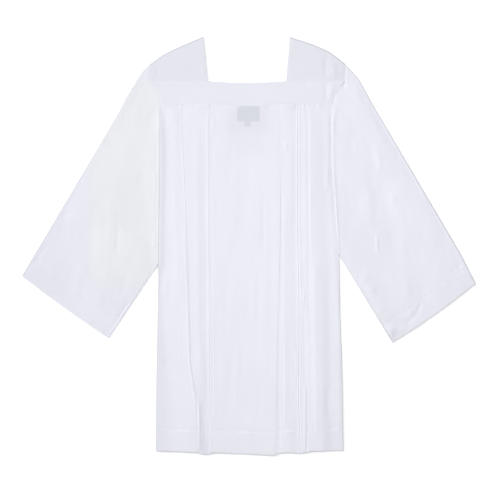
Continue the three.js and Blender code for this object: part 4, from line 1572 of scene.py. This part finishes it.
@dataclass
class Sleeve:
    """A wide sleeve as a flattened tube, from the armhole to its hemmed cuff.

    Attributes:
        name: The piece's name.
        node: The solid that it stands for.
        side: Its side's corners and edges.
        relief: The creases of its upper layer.
        nose: How long the rounding of its folded edges is.
        hollows: From the middle of its lower layer to that of its upper one, at the fold
            above and at the fold below.
        crown: The same away from its edges.
        crown_reach: How far in from the folds the sleeve reaches its crown.
        seam_reach: How far out from the armhole it leaves the height of the seam.
        cuff_dip: How deep the cuff's stitches pull the cloth down.
        cuff_step: How much the doubled cuff stands up.
        cuff_step_reach: How far it takes to do so.
        edge_dip: How deep the cuff's edge turns down.
        edge_dip_width: How far from the edge it does so.
        armhole_dip: How deep the armhole's stitches pull the cloth down.
        ridge: How much the seam allowance inside the armhole stands up.
        ridge_reach: How wide that ridge is to each side.
        ridge_place: How far out it lies, in reaches.
        ridge_at_strap: Its share of that height beside the strap.
        ridge_from: Where it starts to fall to that share.
        ridge_fade: How far above it that ends.
        turned: The painted shade on its upper and lower folds; painted highlight where negative.
        fold_shares: How that is spread round a fold, from below.
        length: About how long it is from the armhole to the cuff's hem.
        girth: About how wide its upper layer is.
        under_columns: How many columns its lower layer has.
        row_step: The distance between rows in its middle.
        column_step: The distance between columns in its middle.
    """

    name: str
    node: str
    side: Side
    relief: Relief
    nose: float = 4.0
    hollows: tuple[float, float] = (3.0, 2.7)
    crown: float = 3.6
    crown_reach: float = 34.0
    seam_reach: float = 60.0
    cuff_dip: float = 0.2
    cuff_step: float = 0.12
    cuff_step_reach: float = 2.0
    edge_dip: float = 0.5
    edge_dip_width: float = 1.4
    armhole_dip: float = 0.2
    ridge: float = 0.9
    ridge_reach: float = 4.6
    ridge_place: float = 1.7
    ridge_at_strap: float = 0.35
    ridge_from: float = 295.0
    ridge_fade: float = 30.0
    turned: tuple[float, float] = (1.0, 1.0)
    fold_shares: tuple[float, ...] = (0.45, 0.8, 1.0, 1.0, 0.8, 0.45, 0.2)
    length: float = 480.0
    girth: float = 420.0
    under_columns: int = 40
    row_step: float = 4.6
    column_step: float = 4.6

    def patch(self) -> Patch:
        """The sleeve's outline in plan: near is its upper edge and far its lower one."""
        side = self.side

        def outwards(point: Point) -> Point:
            """Moves a point of the armhole over the body's edge, as a seam laps it."""
            return (point[0] - side.sign * SEAM_LAP, point[1])

        y = np.linspace(PANEL_TOP, side.underarm, 60)
        body = np.stack([LINES.at(side.body_line, y), y], axis=-1)
        corners = [side.strap_end, side.strap_corner, side.band_corner, *map(tuple, body)]
        armhole = Route([outwards(point) for point in corners])
        arm = [outwards(side.strap_end), *side.arm]
        underarm = outwards((float(LINES.at(side.body_line, side.underarm)), side.underarm))
        near = Route([*catmull(arm, 48), *side.elbow, side.cuff_top])
        far = Route([underarm, side.cuff_bottom])
        chord = np.subtract(side.cuff_bottom, side.cuff_top)
        outward = np.array([-chord[1], chord[0]]) / np.linalg.norm(chord)
        outward = outward * side.cuff_bow * side.sign

        def cuff(down: Any) -> Array:
            """The cuff's edge, which bows out a little."""
            d = np.asarray(down, float)[..., None]
            straight = mix(np.array(side.cuff_top), np.array(side.cuff_bottom), d)
            return straight + outward * np.sin(math.pi * d)

        def hemmed(route: Route) -> Callable[[Any], Array]:
            """Reads a route so that its hem starts at the same share on every line."""
            single = 1 - CUFF_HEM / route.length
            return lambda share: route.at(np.interp(share, [0, CUFF_HEM_SHARE, 1], [0, single, 1]))

        return Patch(hemmed(near), hemmed(far), armhole.at, cuff)

    def along(self) -> Array:
        """The rows' shares from the armhole to the cuff."""
        upper = stops(self.length, self.row_step, fine=1.3, edge=9.0) * CUFF_HEM_SHARE
        hem = stops(CUFF_HEM, self.row_step, fine=1.0, edge=4.0) * (1 - CUFF_HEM_SHARE)
        return np.concatenate([upper, CUFF_HEM_SHARE + hem[1:]])

    def places(self) -> Array:
        """The sleeve's points, by row, column and axis, round the tube."""
        patch = self.patch()
        along = self.along()[:, None]
        low = CLOTH / 2
        length = np.linalg.norm(patch.at(along, 1.0) - patch.at(along, 0.0), axis=-1)
        arm = Route([self.side.strap_end, self.side.strap_corner, self.side.band_corner])
        body = PANEL_TOP - self.side.underarm
        body_corner = (float(LINES.at(self.side.body_line, PANEL_TOP)), PANEL_TOP)
        whole = arm.length + math.dist(self.side.band_corner, body_corner) + body
        total = float(length[0, 0])
        corners = (arm.reached[1:] / whole * total - self.nose) / (total - 2 * self.nose)
        spread = stops(self.girth, self.column_step, fine=1.6, edge=14.0)
        shares = with_corners(spread, corners, clear=0.003)[None, :]
        angles = half_turn()
        round_in = np.broadcast_to(self.nose * (1 - np.cos(angles)), (len(along), TURN_COLUMNS))
        run_top = mix(self.nose, length - self.nose, shares)
        from_edge = np.minimum(run_top, length - run_top) - self.nose
        nearest = np.where(run_top < length / 2, *self.hollows)
        z_top = low + mix(nearest, self.crown, smooth(from_edge / self.crown_reach))
        ends = [0, self.length, self.length + CUFF_HEM]
        reached = np.interp(along, [0, CUFF_HEM_SHARE, 1], ends)
        sewn = self.side.seam_height(patch.at(0.0, run_top[0] / total)[:, 1])
        sewing = 1 - smooth(reached / self.seam_reach)
        z_top = z_top + (sewn - z_top[0]) * sewing
        turned = 0.5 + 0.5 * np.sin(angles)
        lift_near = turned * mix(self.hollows[0], sewn[0] - low, sewing)
        lift_far = turned * mix(self.hollows[1], sewn[-1] - low, sewing)
        under = np.linspace(1.0, 0.0, self.under_columns)[None, :]
        run_under = mix(self.nose, length - self.nose, under)
        z_under = np.full_like(run_under, low)
        run = np.concatenate([round_in, run_top, length - round_in[:, ::-1], run_under], axis=1)
        z = np.concatenate([low + lift_near, z_top, low + lift_far[:, ::-1], z_under], axis=1)
        upper = np.concatenate([
            np.zeros_like(round_in), smooth(from_edge / 5.0), np.zeros_like(round_in),
            np.zeros_like(run_under)], axis=1)
        place = patch.at(np.broadcast_to(along, run.shape), run / length)
        x, y = place[..., 0], place[..., 1]
        z = z + upper * self.relief.height(x, y)
        seam = Pucker(dip=self.armhole_dip, width=2.4, ripple=0.16, spacing=11.0, reach=8.0)
        hem = Pucker(dip=self.cuff_dip, width=1.3, ripple=0.17, spacing=11.0, reach=6.5)
        from_ridge = reached - self.ridge_place * self.ridge_reach
        ridge = self.ridge * bell(from_ridge / self.ridge_reach)
        near_strap = smooth((y - self.ridge_from) / self.ridge_fade)
        ridge = ridge * mix(1.0, self.ridge_at_strap, near_strap)
        z = z + upper * (seam.height(reached, run) + ridge)
        from_hem = reached - self.length
        z = z + upper * hem.height(from_hem, run)
        z = z + upper * self.cuff_step * smooth(from_hem / self.cuff_step_reach)
        z = z - upper * self.edge_dip * bell((from_hem - CUFF_HEM) / self.edge_dip_width)
        return np.concatenate([place, z[..., None]], axis=-1)

    def edges(self, places: Array) -> Array:
        """The painted shade on its two folds by row and column; painted highlight where negative.
        """
        rounds = np.zeros(places.shape[:2])
        shares = np.array(self.fold_shares)
        rounds[:, :TURN_COLUMNS] = shares * self.turned[0]
        far = places.shape[1] - self.under_columns - TURN_COLUMNS
        rounds[:, far:far + TURN_COLUMNS] = shares[::-1] * self.turned[1]
        return rounds

    def build(self, finish: bpy.types.Material) -> bpy.types.Object:
        """Makes the sleeve in place of its solid."""
        places = self.places()
        sheet = Sheet(self.name, self.node, places, ring=True, edge=self.edges(places))
        return sheet.build(finish, "cloth")


# ----------------------------------------------------------------- label and stitching


@dataclass
class Tape:
    """A plain woven tape, sewn inside the back.

    Attributes:
        name: The piece's name.
        node: The solid that it stands for.
        wall: How thick it is.
        step: The distance between points in its middle.
        edge_dip: How far its edges turn down.
        edge_reach: How far from the edges they do so.
    """

    name: str
    node: str
    wall: float = 0.5
    step: float = 2.0
    edge_dip: float = 0.12
    edge_reach: float = 1.5

    def build(self, finish: bpy.types.Material) -> bpy.types.Object:
        """Makes the tape where its solid lies, its edges turned down a little."""
        low, high = (np.array(corner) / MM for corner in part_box(self.node))
        across = stops(float(high[0] - low[0]), self.step, 0.5, self.edge_reach)
        down = stops(float(high[1] - low[1]), self.step, 0.5, self.edge_reach)
        a, d = np.meshgrid(across, down)
        x, y = mix(low[0], high[0], a), mix(high[1], low[1], d)
        edge = np.minimum(np.minimum(x - low[0], high[0] - x), np.minimum(y - low[1], high[1] - y))
        z = mix(low[2], high[2], 0.5) + self.edge_dip * smooth(edge / self.edge_reach)
        places = np.stack([x, y, z], axis=-1)
        return Sheet(self.name, self.node, places, self.wall).build(finish, "label")


@dataclass
class Stitching:
    """Rows of small machine stitches, laid on the finished cloth.

    Attributes:
        name: The joined stitches' name.
        lines: Where they are sewn, in plan.
        length: One stitch's length, in mm.
        pitch: From one stitch to the next.
        inset: From the start of a line to its first stitch.
        thread: The thread's thickness.
        flat: How high a stitch is, as a share of its width.
        steepest: The most that a stitch may rise or fall along its length.
    """

    name: str
    lines: tuple[Line, ...]
    length: float = 2.3
    pitch: float = 3.1
    inset: float = 0.3
    thread: float = 0.42
    flat: float = 0.7
    steepest: float = 1.2

    def build(
        self, cloth: Iterable[bpy.types.Object], finish: bpy.types.Material
    ) -> bpy.types.Object:
        """Lays the stitches on the cloth under each line.

        Args:
            cloth: The pieces that they are sewn into.
            finish: The thread's material.

        Returns:
            The stitches, joined as one piece.
        """
        graph = bpy.context.evaluated_depsgraph_get()
        trees = [BVHTree.FromObject(piece, graph) for piece in cloth]
        bm = bmesh.new()
        for line in self.lines:
            route = Route(line)
            count = int(route.length / self.pitch)
            for k in range(count):
                start, end = (
                    self.seat(trees, route.at((k * self.pitch + off) / route.length))
                    for off in (self.inset, self.inset + self.length)
                )
                if start and end and abs(start.z - end.z) < self.steepest * MM:
                    self.stitch(bm, start, end)
        mesh = mesh_of(self.name, bm)
        mesh.shade_smooth()
        mesh.materials.append(finish)
        piece = put(self.name, mesh)
        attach(piece, "root")
        return piece

    def seat(self, trees: Sequence[BVHTree], place: Array) -> Vector | None:
        """Finds the cloth under a place.

        Args:
            trees: The pieces of cloth.
            place: The place in plan, in mm.

        Returns:
            The highest point of the cloth there, or nothing beside it.
        """
        above = Vector((place[0] * MM, place[1] * MM, 0.1))
        hits = [tree.ray_cast(above, Vector((0, 0, -1)))[0] for tree in trees]
        hits = [hit for hit in hits if hit is not None]
        return max(hits, key=lambda hit: hit.z) if hits else None

    def stitch(self, bm: bmesh.types.BMesh, start: Vector, end: Vector) -> None:
        """Adds one stitch.

        Args:
            bm: The stitches so far.
            start: Where it comes out of the cloth.
            end: Where it goes in.
        """
        along = end - start
        turned = along.to_track_quat("X", "Z").to_matrix().to_4x4()
        half = self.thread / 2 * MM
        size = Matrix.Diagonal((along.length / 2, half, half * self.flat, 1.0))
        upright = Matrix.Rotation(math.pi / 2, 4, "Y")
        middle = (start + end) / 2 + Vector((0, 0, half * 0.25))
        bmesh.ops.create_uvsphere(
            bm, u_segments=6, v_segments=4, radius=1.0,
            matrix=Matrix.Translation(middle) @ turned @ size @ upright,
        )


# ----------------------------------------------------------------------- the whole


HEM_HANG = 7.0  # how far below the hem's edge the front hangs on the whole
HEM_STITCHES = ((-202.0, 4), (-120.0, 2), (0.0, 0), (120.0, 1), (204.0, 5))  # x, and how far up
SEAM_TO_STITCHES = 2.2
STITCH_POINTS = 24  # points along the curved lines of stitches

LEFT_SLEEVE_RELIEF = Relief(
    creases=(
        Crease(((-410, 78), (-392, 62)), -0.9, 10, 14),
        Crease(((-456, -2), (-444, -12)), -0.9, 8, 10),
        Crease(((-474, -24), (-460, -38)), -0.9, 8, 12),
        Crease(((-334, 90), (-330, -60)), 0.8, 10, 40),
        Crease(((-288, 52), (-292, -30)), -0.8, 6, 26),
        Crease(((-206, 170), (-207, 100)), 0.7, 4, 26),
        Crease(((-207, 40), (-208, -14)), 0.7, 4, 20),
        Crease(((-250, 260), (-300, 90), (-330, -60)), 0.8, 18, 70),
        Crease(((-330, 60), (-390, -110)), 0.6, 14, 50),
        Crease(((-395, -91), (-367, -113), (-330, -137)), 0.8, 4.0, 24, lean=-0.5),
        Crease(((-432, -62), (-424, -68)), 0.7, 2.8, 5),
        Crease(((-444, -70), (-438, -77)), 0.6, 2.6, 5),
        Crease(((-324, -180), (-320, -188)), 0.6, 3, 5),
        Crease(((-262, -118), (-306, -196)), -0.9, 5, 20),
        Crease(((-240, 190), (-262, 120)), 0.5, 9, 30),
        Crease(((-228, 330), (-240, 240)), -0.5, 10, 40),
    ),
    crumple=Crumple(seed=89, rise=0.5, heading=-8.0, stretch=2.4),
)

RIGHT_SLEEVE_RELIEF = Relief(
    creases=(
        Crease(((280, 233), (290, 156)), 0.8, 6, 30),
        Crease(((262, 140), (270, 36)), 0.7, 9, 34),
        Crease(((312, 116), (324, 86)), 0.7, 6, 12),
        Crease(((281, 31), (283, -20)), 1.0, 2.6, 16),
        Crease(((344, -57), (350, -123)), 0.7, 8, 26),
        Crease(((240, -56), (280, -116)), 1.8, 12, 24, lean=-0.5),
        Crease(((234, -58), (241, -72)), 0.8, 4, 7),
        Crease(((301, -143), (304, -149)), -0.8, 4, 4),
        Crease(((377, -119), (371, -143), (358, -158), (345, -172)), -1.2, 3.2, 12,
               lean=-0.5, wander=0.6),
        Crease(((356, -138), (352, -158)), 0.9, 5, 10, lean=-0.3),
        Crease(((303, -180), (330, -187), (348, -180)), 0.5, 7, 14),
        Crease(((300, -214), (322, -172)), 2.0, 11, 14, lean=-0.3),
        Crease(((422, -76), (441, -88)), 0.8, 3.0, 8),
        Crease(((455, -38), (470, -50)), -0.9, 7, 8),
        Crease(((447, -50), (452, -62)), -0.8, 4, 6),
        Crease(((186, 330), (183, 262), (188, 236)), 0.8, 4.5, 26),
        Crease(((209, 368), (210, 338)), -1.0, 3.5, 10),
        Crease(((190, 366), (194, 322)), 1.1, 5.5, 14),
        Crease(((240, 260), (262, 10)), 0.7, 14, 70),
        Crease(((300, 190), (330, -70)), -0.7, 16, 70),
        Crease(((236, 250), (252, 230)), 0.5, 6, 10),
    ),
    crumple=Crumple(seed=144, rise=0.5, heading=10.0, stretch=2.4),
)

LEFT_STRAP_RELIEF = Relief(
    creases=(
        Crease(((-104, 396), (-97, 372)), 0.8, 3.0, 8),
        Crease(((-160, 420), (-138, 380)), 0.4, 12, 20),
        Crease(((-202, 396), (-200, 370)), -0.6, 5, 10),
    ),
    crumple=Crumple(seed=233, rise=0.34, heading=60.0),
)

RIGHT_STRAP_RELIEF = Relief(
    creases=(
        Crease(((170, 424), (169, 366)), -1.0, 4.5, 16),
        Crease(((186, 408), (188, 366)), 0.9, 5, 14),
        Crease(((98, 448), (92, 420)), 0.5, 4, 10),
        Crease(((125, 372), (124.5, 364)), -0.8, 1.8, 3),
    ),
    crumple=Crumple(seed=377, rise=0.34, heading=-60.0),
)


def even(tone: float) -> tuple[float, float, float]:
    """A tint that darkens the cloth evenly, a trace less in the blue."""
    return (tone, tone, tone + 0.004)


# The left sleeve's tints: a warmer tone in its middle, a painted highlight lower down and painted
# shade at its outer end.
LEFT_SLEEVE_SHADES = (
    Shade(low=(-0.350, -0.082), high=(-0.200, 0.360), soft=0.050, tint=(1.005, 1.012, 0.968)),
    Shade(low=(-0.350, -0.060), high=(-0.270, 0.040), soft=0.040, tint=(1.02, 1.02, 1.02)),
    Shade(low=(-0.520, -0.120), high=(-0.395, 0.060), soft=0.030, tint=(0.98, 0.98, 0.982)),
)
# The right sleeve's tints: painted shade in the crumpled corner of the cuff, a warmer tone and a
# painted highlight in its middle.
RIGHT_SLEEVE_SHADES = (
    Shade(low=(0.290, -0.235), high=(0.318, -0.192), soft=0.022, tint=(0.915, 0.910, 0.906)),
    Shade(low=(0.290, -0.240), high=(0.345, -0.150), soft=0.034, tint=(0.965, 0.962, 0.960)),
    Shade(low=(0.250, 0.080), high=(0.300, 0.220), soft=0.040, tint=(1.004, 1.006, 0.988)),
    Shade(low=(0.260, 0.050), high=(0.330, 0.140), soft=0.040, tint=(1.02, 1.02, 1.02)),
)
# The front's tints: darker round the label, painted shade at the lower sides and in the left
# pleat's gap at the hem.
FRONT_SHADES = (
    Shade(low=(-0.050, 0.250), high=(0.046, 0.306), soft=0.026, tint=even(0.970)),
    Shade(low=(-0.034, 0.200), high=(0.040, 0.306), soft=0.036, tint=even(0.975)),
    Shade(low=(-0.210, -0.460), high=(-0.178, -0.190), soft=0.030, tint=even(0.975)),
    Shade(low=(0.185, -0.470), high=(0.220, -0.220), soft=0.022, tint=even(0.975)),
    Shade(low=(-0.114, -0.500), high=(-0.090, -0.385), soft=0.016, tint=even(0.975)),
    Shade(low=(-0.108, -0.500), high=(-0.089, -0.420), soft=0.007, tint=even(0.985)),
)
LABEL_TINT = (0.863, 0.885, 0.880)
LABEL_TOP = 0.3078  # where the yoke starts to hide the label, in metres
LABEL_SHIFT = 0.0008  # how far to the right the label shows, in metres


@dataclass
class Studio:
    """The table, the soft light from the upper left and the camera straight above.

    Attributes:
        view_width: How wide the camera's view of the table is, in metres.
        distance: How high the camera stands.
        centre: The point of the table under it.
        cloth_height: How far above the table the view is focused.
        sun_from: Where the low light comes from.
        sun_softness: The angle that its source fills, in radians.
        lamp_place: Where the lamp hangs.
        sky: How strong the even light is.
        table_size: Half of the table's side.
        table_gap: How far under the cloth the table's top lies.
    """

    view_width: float = 1.1
    distance: float = 3.0
    centre: tuple[float, float] = (0.0022, -0.0022)
    cloth_height: float = 0.005
    sun_from: tuple[float, float, float] = (-1.0, 0.45, 0.69)
    sun_softness: float = 0.5
    sun_strength: float = 1.55
    lamp_place: tuple[float, float, float] = (0.0, 0.13, 1.8)
    lamp_size: float = 1.4
    lamp_power: float = 19.0
    sky: float = 0.30
    table_size: float = 7.0
    table_gap: float = 0.0004

    def camera(self) -> None:
        """Sets the camera straight above the garment."""
        data = bpy.data.cameras.new("camera")
        data.sensor_width = 36.0
        data.lens = data.sensor_width * self.distance / self.view_width
        camera = put("camera", data)
        camera.location = (*self.centre, self.distance + self.cloth_height)
        bpy.context.scene.camera = camera

    def table(self) -> None:
        """Lays the table just under the cloth."""
        bm = bmesh.new()
        bmesh.ops.create_grid(bm, x_segments=1, y_segments=1, size=self.table_size)
        bmesh.ops.translate(bm, verts=bm.verts, vec=(0, 0, -self.table_gap))
        mesh = mesh_of("table", bm)
        mesh.materials.append(TableFinish().make())
        put("table", mesh)

    def light(self) -> None:
        """Sets low light from the upper left, a soft lamp overhead and even light all round."""
        low = bpy.data.lights.new("low_light", "SUN")
        low.energy = self.sun_strength
        low.angle = self.sun_softness
        self.hang("low_light", low, self.sun_from)
        lamp = bpy.data.lights.new("lamp", "AREA")
        lamp.shape = "DISK"
        lamp.size = self.lamp_size
        lamp.energy = self.lamp_power
        self.hang("lamp", lamp, self.lamp_place)
        world = bpy.data.worlds.new("even_light")
        world.use_nodes = True
        ground = world.node_tree.nodes["Background"]
        ground.inputs[0].default_value = (1.0, 1.0, 1.0, 1.0)
        ground.inputs[1].default_value = self.sky
        bpy.context.scene.world = world
        bpy.context.scene.view_settings.view_transform = "Standard"

    def hang(self, name: str, data: bpy.types.Light, place: tuple[float, float, float]) -> None:
        """Hangs a lamp, turned towards the garment."""
        lamp = put(name, data)
        lamp.location = place
        lamp.rotation_euler = (-Vector(place)).to_track_quat("-Z", "Y").to_euler()


@dataclass(frozen=True)
class Cut:
    """A piece's flat cut: its width, length and area, in metres."""

    width: float
    length: float
    area: float


class Surplice:
    """The whole garment, piece by piece."""

    cuts: dict[str, Cut] = {
        "front_body": Cut(0.650, 0.773, 0.486),
        "back_body": Cut(0.413, 0.761, 0.304),
        "front_band": Cut(0.429, 0.051, 0.0205),
        "back_band": Cut(0.429, 0.051, 0.0205),
        "left_strap": Cut(0.129, 0.196, 0.0181),
        "right_strap": Cut(0.129, 0.196, 0.0189),
        "left_sleeve_cloth": Cut(0.90, 0.55, 0.1914),
        "right_sleeve_cloth": Cut(0.90, 0.55, 0.1967),
        "label_tape": Cut(0.050, 0.036, 0.0018),
        "size_tape": Cut(0.019, 0.011, 0.0002),
    }

    def __init__(self) -> None:
        """Makes the finishes that the pieces share, and plans the sleeves."""
        self.plain = ClothFinish("white_cloth").make()
        # The left sleeve's cloth, with a warmer tone, a painted highlight and painted shade.
        self.single = ClothFinish(
            "white_cloth_sleeve",
            colour=(0.805, 0.811, 0.886),
            shades=LEFT_SLEEVE_SHADES,
        ).make()
        self.yoke = ClothFinish("white_cloth_doubled", colour=(0.783, 0.790, 0.859)).make()
        self.straps = ClothFinish("white_cloth_straps", colour=(0.762, 0.769, 0.836)).make()
        # The right sleeve's cloth, with painted shade at the cuff's corner and a painted highlight.
        self.turned = ClothFinish(
            "white_cloth_turned_cuff",
            colour=(0.803, 0.8085, 0.883),
            shades=RIGHT_SLEEVE_SHADES,
        ).make()
        # The front's cloth, with the label showing through and painted shade at its lower sides and
        # hem.
        shades = (*self.label_shades(), *FRONT_SHADES)
        self.sheer = ClothFinish("white_cloth_over_label", shades=shades).make()
        self.tape = TapeFinish().make()
        self.thread = ThreadFinish().make()
        # Each sleeve's turned paints shade on its upper and lower folds, and a painted highlight
        # where it is negative.
        self.sleeves = {
            "left": Sleeve("left_sleeve_cloth", "left_sleeve", LEFT, LEFT_SLEEVE_RELIEF,
                           hollows=(3.1, 3.4), seam_reach=100.0, turned=(2.2, -0.8)),
            "right": Sleeve("right_sleeve_cloth", "right_sleeve", RIGHT, RIGHT_SLEEVE_RELIEF,
                            ridge_reach=6.0, turned=(0.9, 1.8)),
        }
        self.pieces: dict[str, bpy.types.Object] = {}

    def label_shades(self) -> list[Shade]:
        """Where the label and its tab show through the front, with soft edges."""
        shown = []
        for node, inset, soft in (("label", 0.0, 0.0034), ("size_tab", 0.0026, 0.0056)):
            low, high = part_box(node)
            left, right = low.x + LABEL_SHIFT + inset, high.x + LABEL_SHIFT - inset
            top = min(high.y, LABEL_TOP)
            shown.append(Shade(low=(left, low.y), high=(right, top), soft=soft, tint=LABEL_TINT))
        return shown

    def add(self, piece: bpy.types.Object) -> None:
        """Keeps a finished piece and reports it."""
        self.pieces[piece.name] = piece
        log.info("%s: %d vertices", piece.name, len(piece.data.vertices))

    def sew(self) -> None:
        """Makes all the cloth."""
        self.add(BackBody().build(self.plain))
        self.add(Band("back_band", "back_yoke_band", front=False).build(self.yoke))
        self.add(Tape("label_tape", "label").build(self.tape))
        self.add(Tape("size_tape", "size_tab").build(self.tape))
        self.add(FrontBody().build(self.sheer))
        self.add(Band("front_band", "front_yoke_band", front=True).build(self.yoke))
        straps = (("left", LEFT, LEFT_STRAP_RELIEF), ("right", RIGHT, RIGHT_STRAP_RELIEF))
        for name, side, relief in straps:
            strap = Strap(f"{name}_strap", f"{name}_shoulder_strap", side, relief)
            self.add(strap.build(self.straps))
        self.add(self.sleeves["left"].build(self.single))
        self.add(self.sleeves["right"].build(self.turned))

    def stitch(self) -> None:
        """Sews the hems, cuffs, neck and yoke seams with visible stitches."""
        hem_y = HEM_LINE - HEM_HANG * (PANEL_TOP - HEM_LINE) / (PANEL_TOP - HEM_EDGE)
        hem = tuple((x, hem_y + up) for x, up in HEM_STITCHES)
        self.add(Stitching("hem_stitches", (hem,)).build([self.pieces["front_body"]], self.thread))
        across = np.linspace(0.03, 0.97, STITCH_POINTS)
        for name, sleeve in self.sleeves.items():
            line = sleeve.patch().at(np.full(STITCH_POINTS, CUFF_HEM_SHARE), across)
            cuff = tuple((float(x), float(y)) for x, y in line)
            cloth = [self.pieces[sleeve.name]]
            self.add(Stitching(f"{name}_cuff_stitches", (cuff,)).build(cloth, self.thread))
        start, stop = LEFT.neck_corner[0], RIGHT.neck_corner[0]
        neck_y = STRAP_SEAM - SEAM_TO_STITCHES
        neck = tuple(
            (float(x), neck_y - NECK_SAG * math.sin(math.pi * (x - start) / (stop - start)))
            for x in np.linspace(start + 3.0, stop - 3.0, STITCH_POINTS)
        )
        above = STRAP_SEAM + SEAM_TO_STITCHES
        yoke_lines = (
            neck,
            ((-192.0, PANEL_TOP + 2.4), (184.0, PANEL_TOP + 2.4)),
            ((-216.0, above), (-92.5, above)),
            ((84.0, above), (207.0, above)),
            ((-92.6, STRAP_SEAM + 3), (-102.2, 456.0)),
            ((84.0, STRAP_SEAM + 3), (91.4, 455.0)),
        )
        yoke = [self.pieces[name] for name in ("front_band", "left_strap", "right_strap")]
        self.add(Stitching("yoke_stitches", yoke_lines).build(yoke, self.thread))


def main() -> None:
    """Sets the studio and makes the garment in it."""
    logging.basicConfig(level=logging.INFO, format="%(name)s: %(message)s")
    studio = Studio()
    studio.camera()
    surplice = Surplice()
    surplice.sew()
    surplice.stitch()
    studio.table()
    studio.light()


if __name__ == "__main__":
    main()
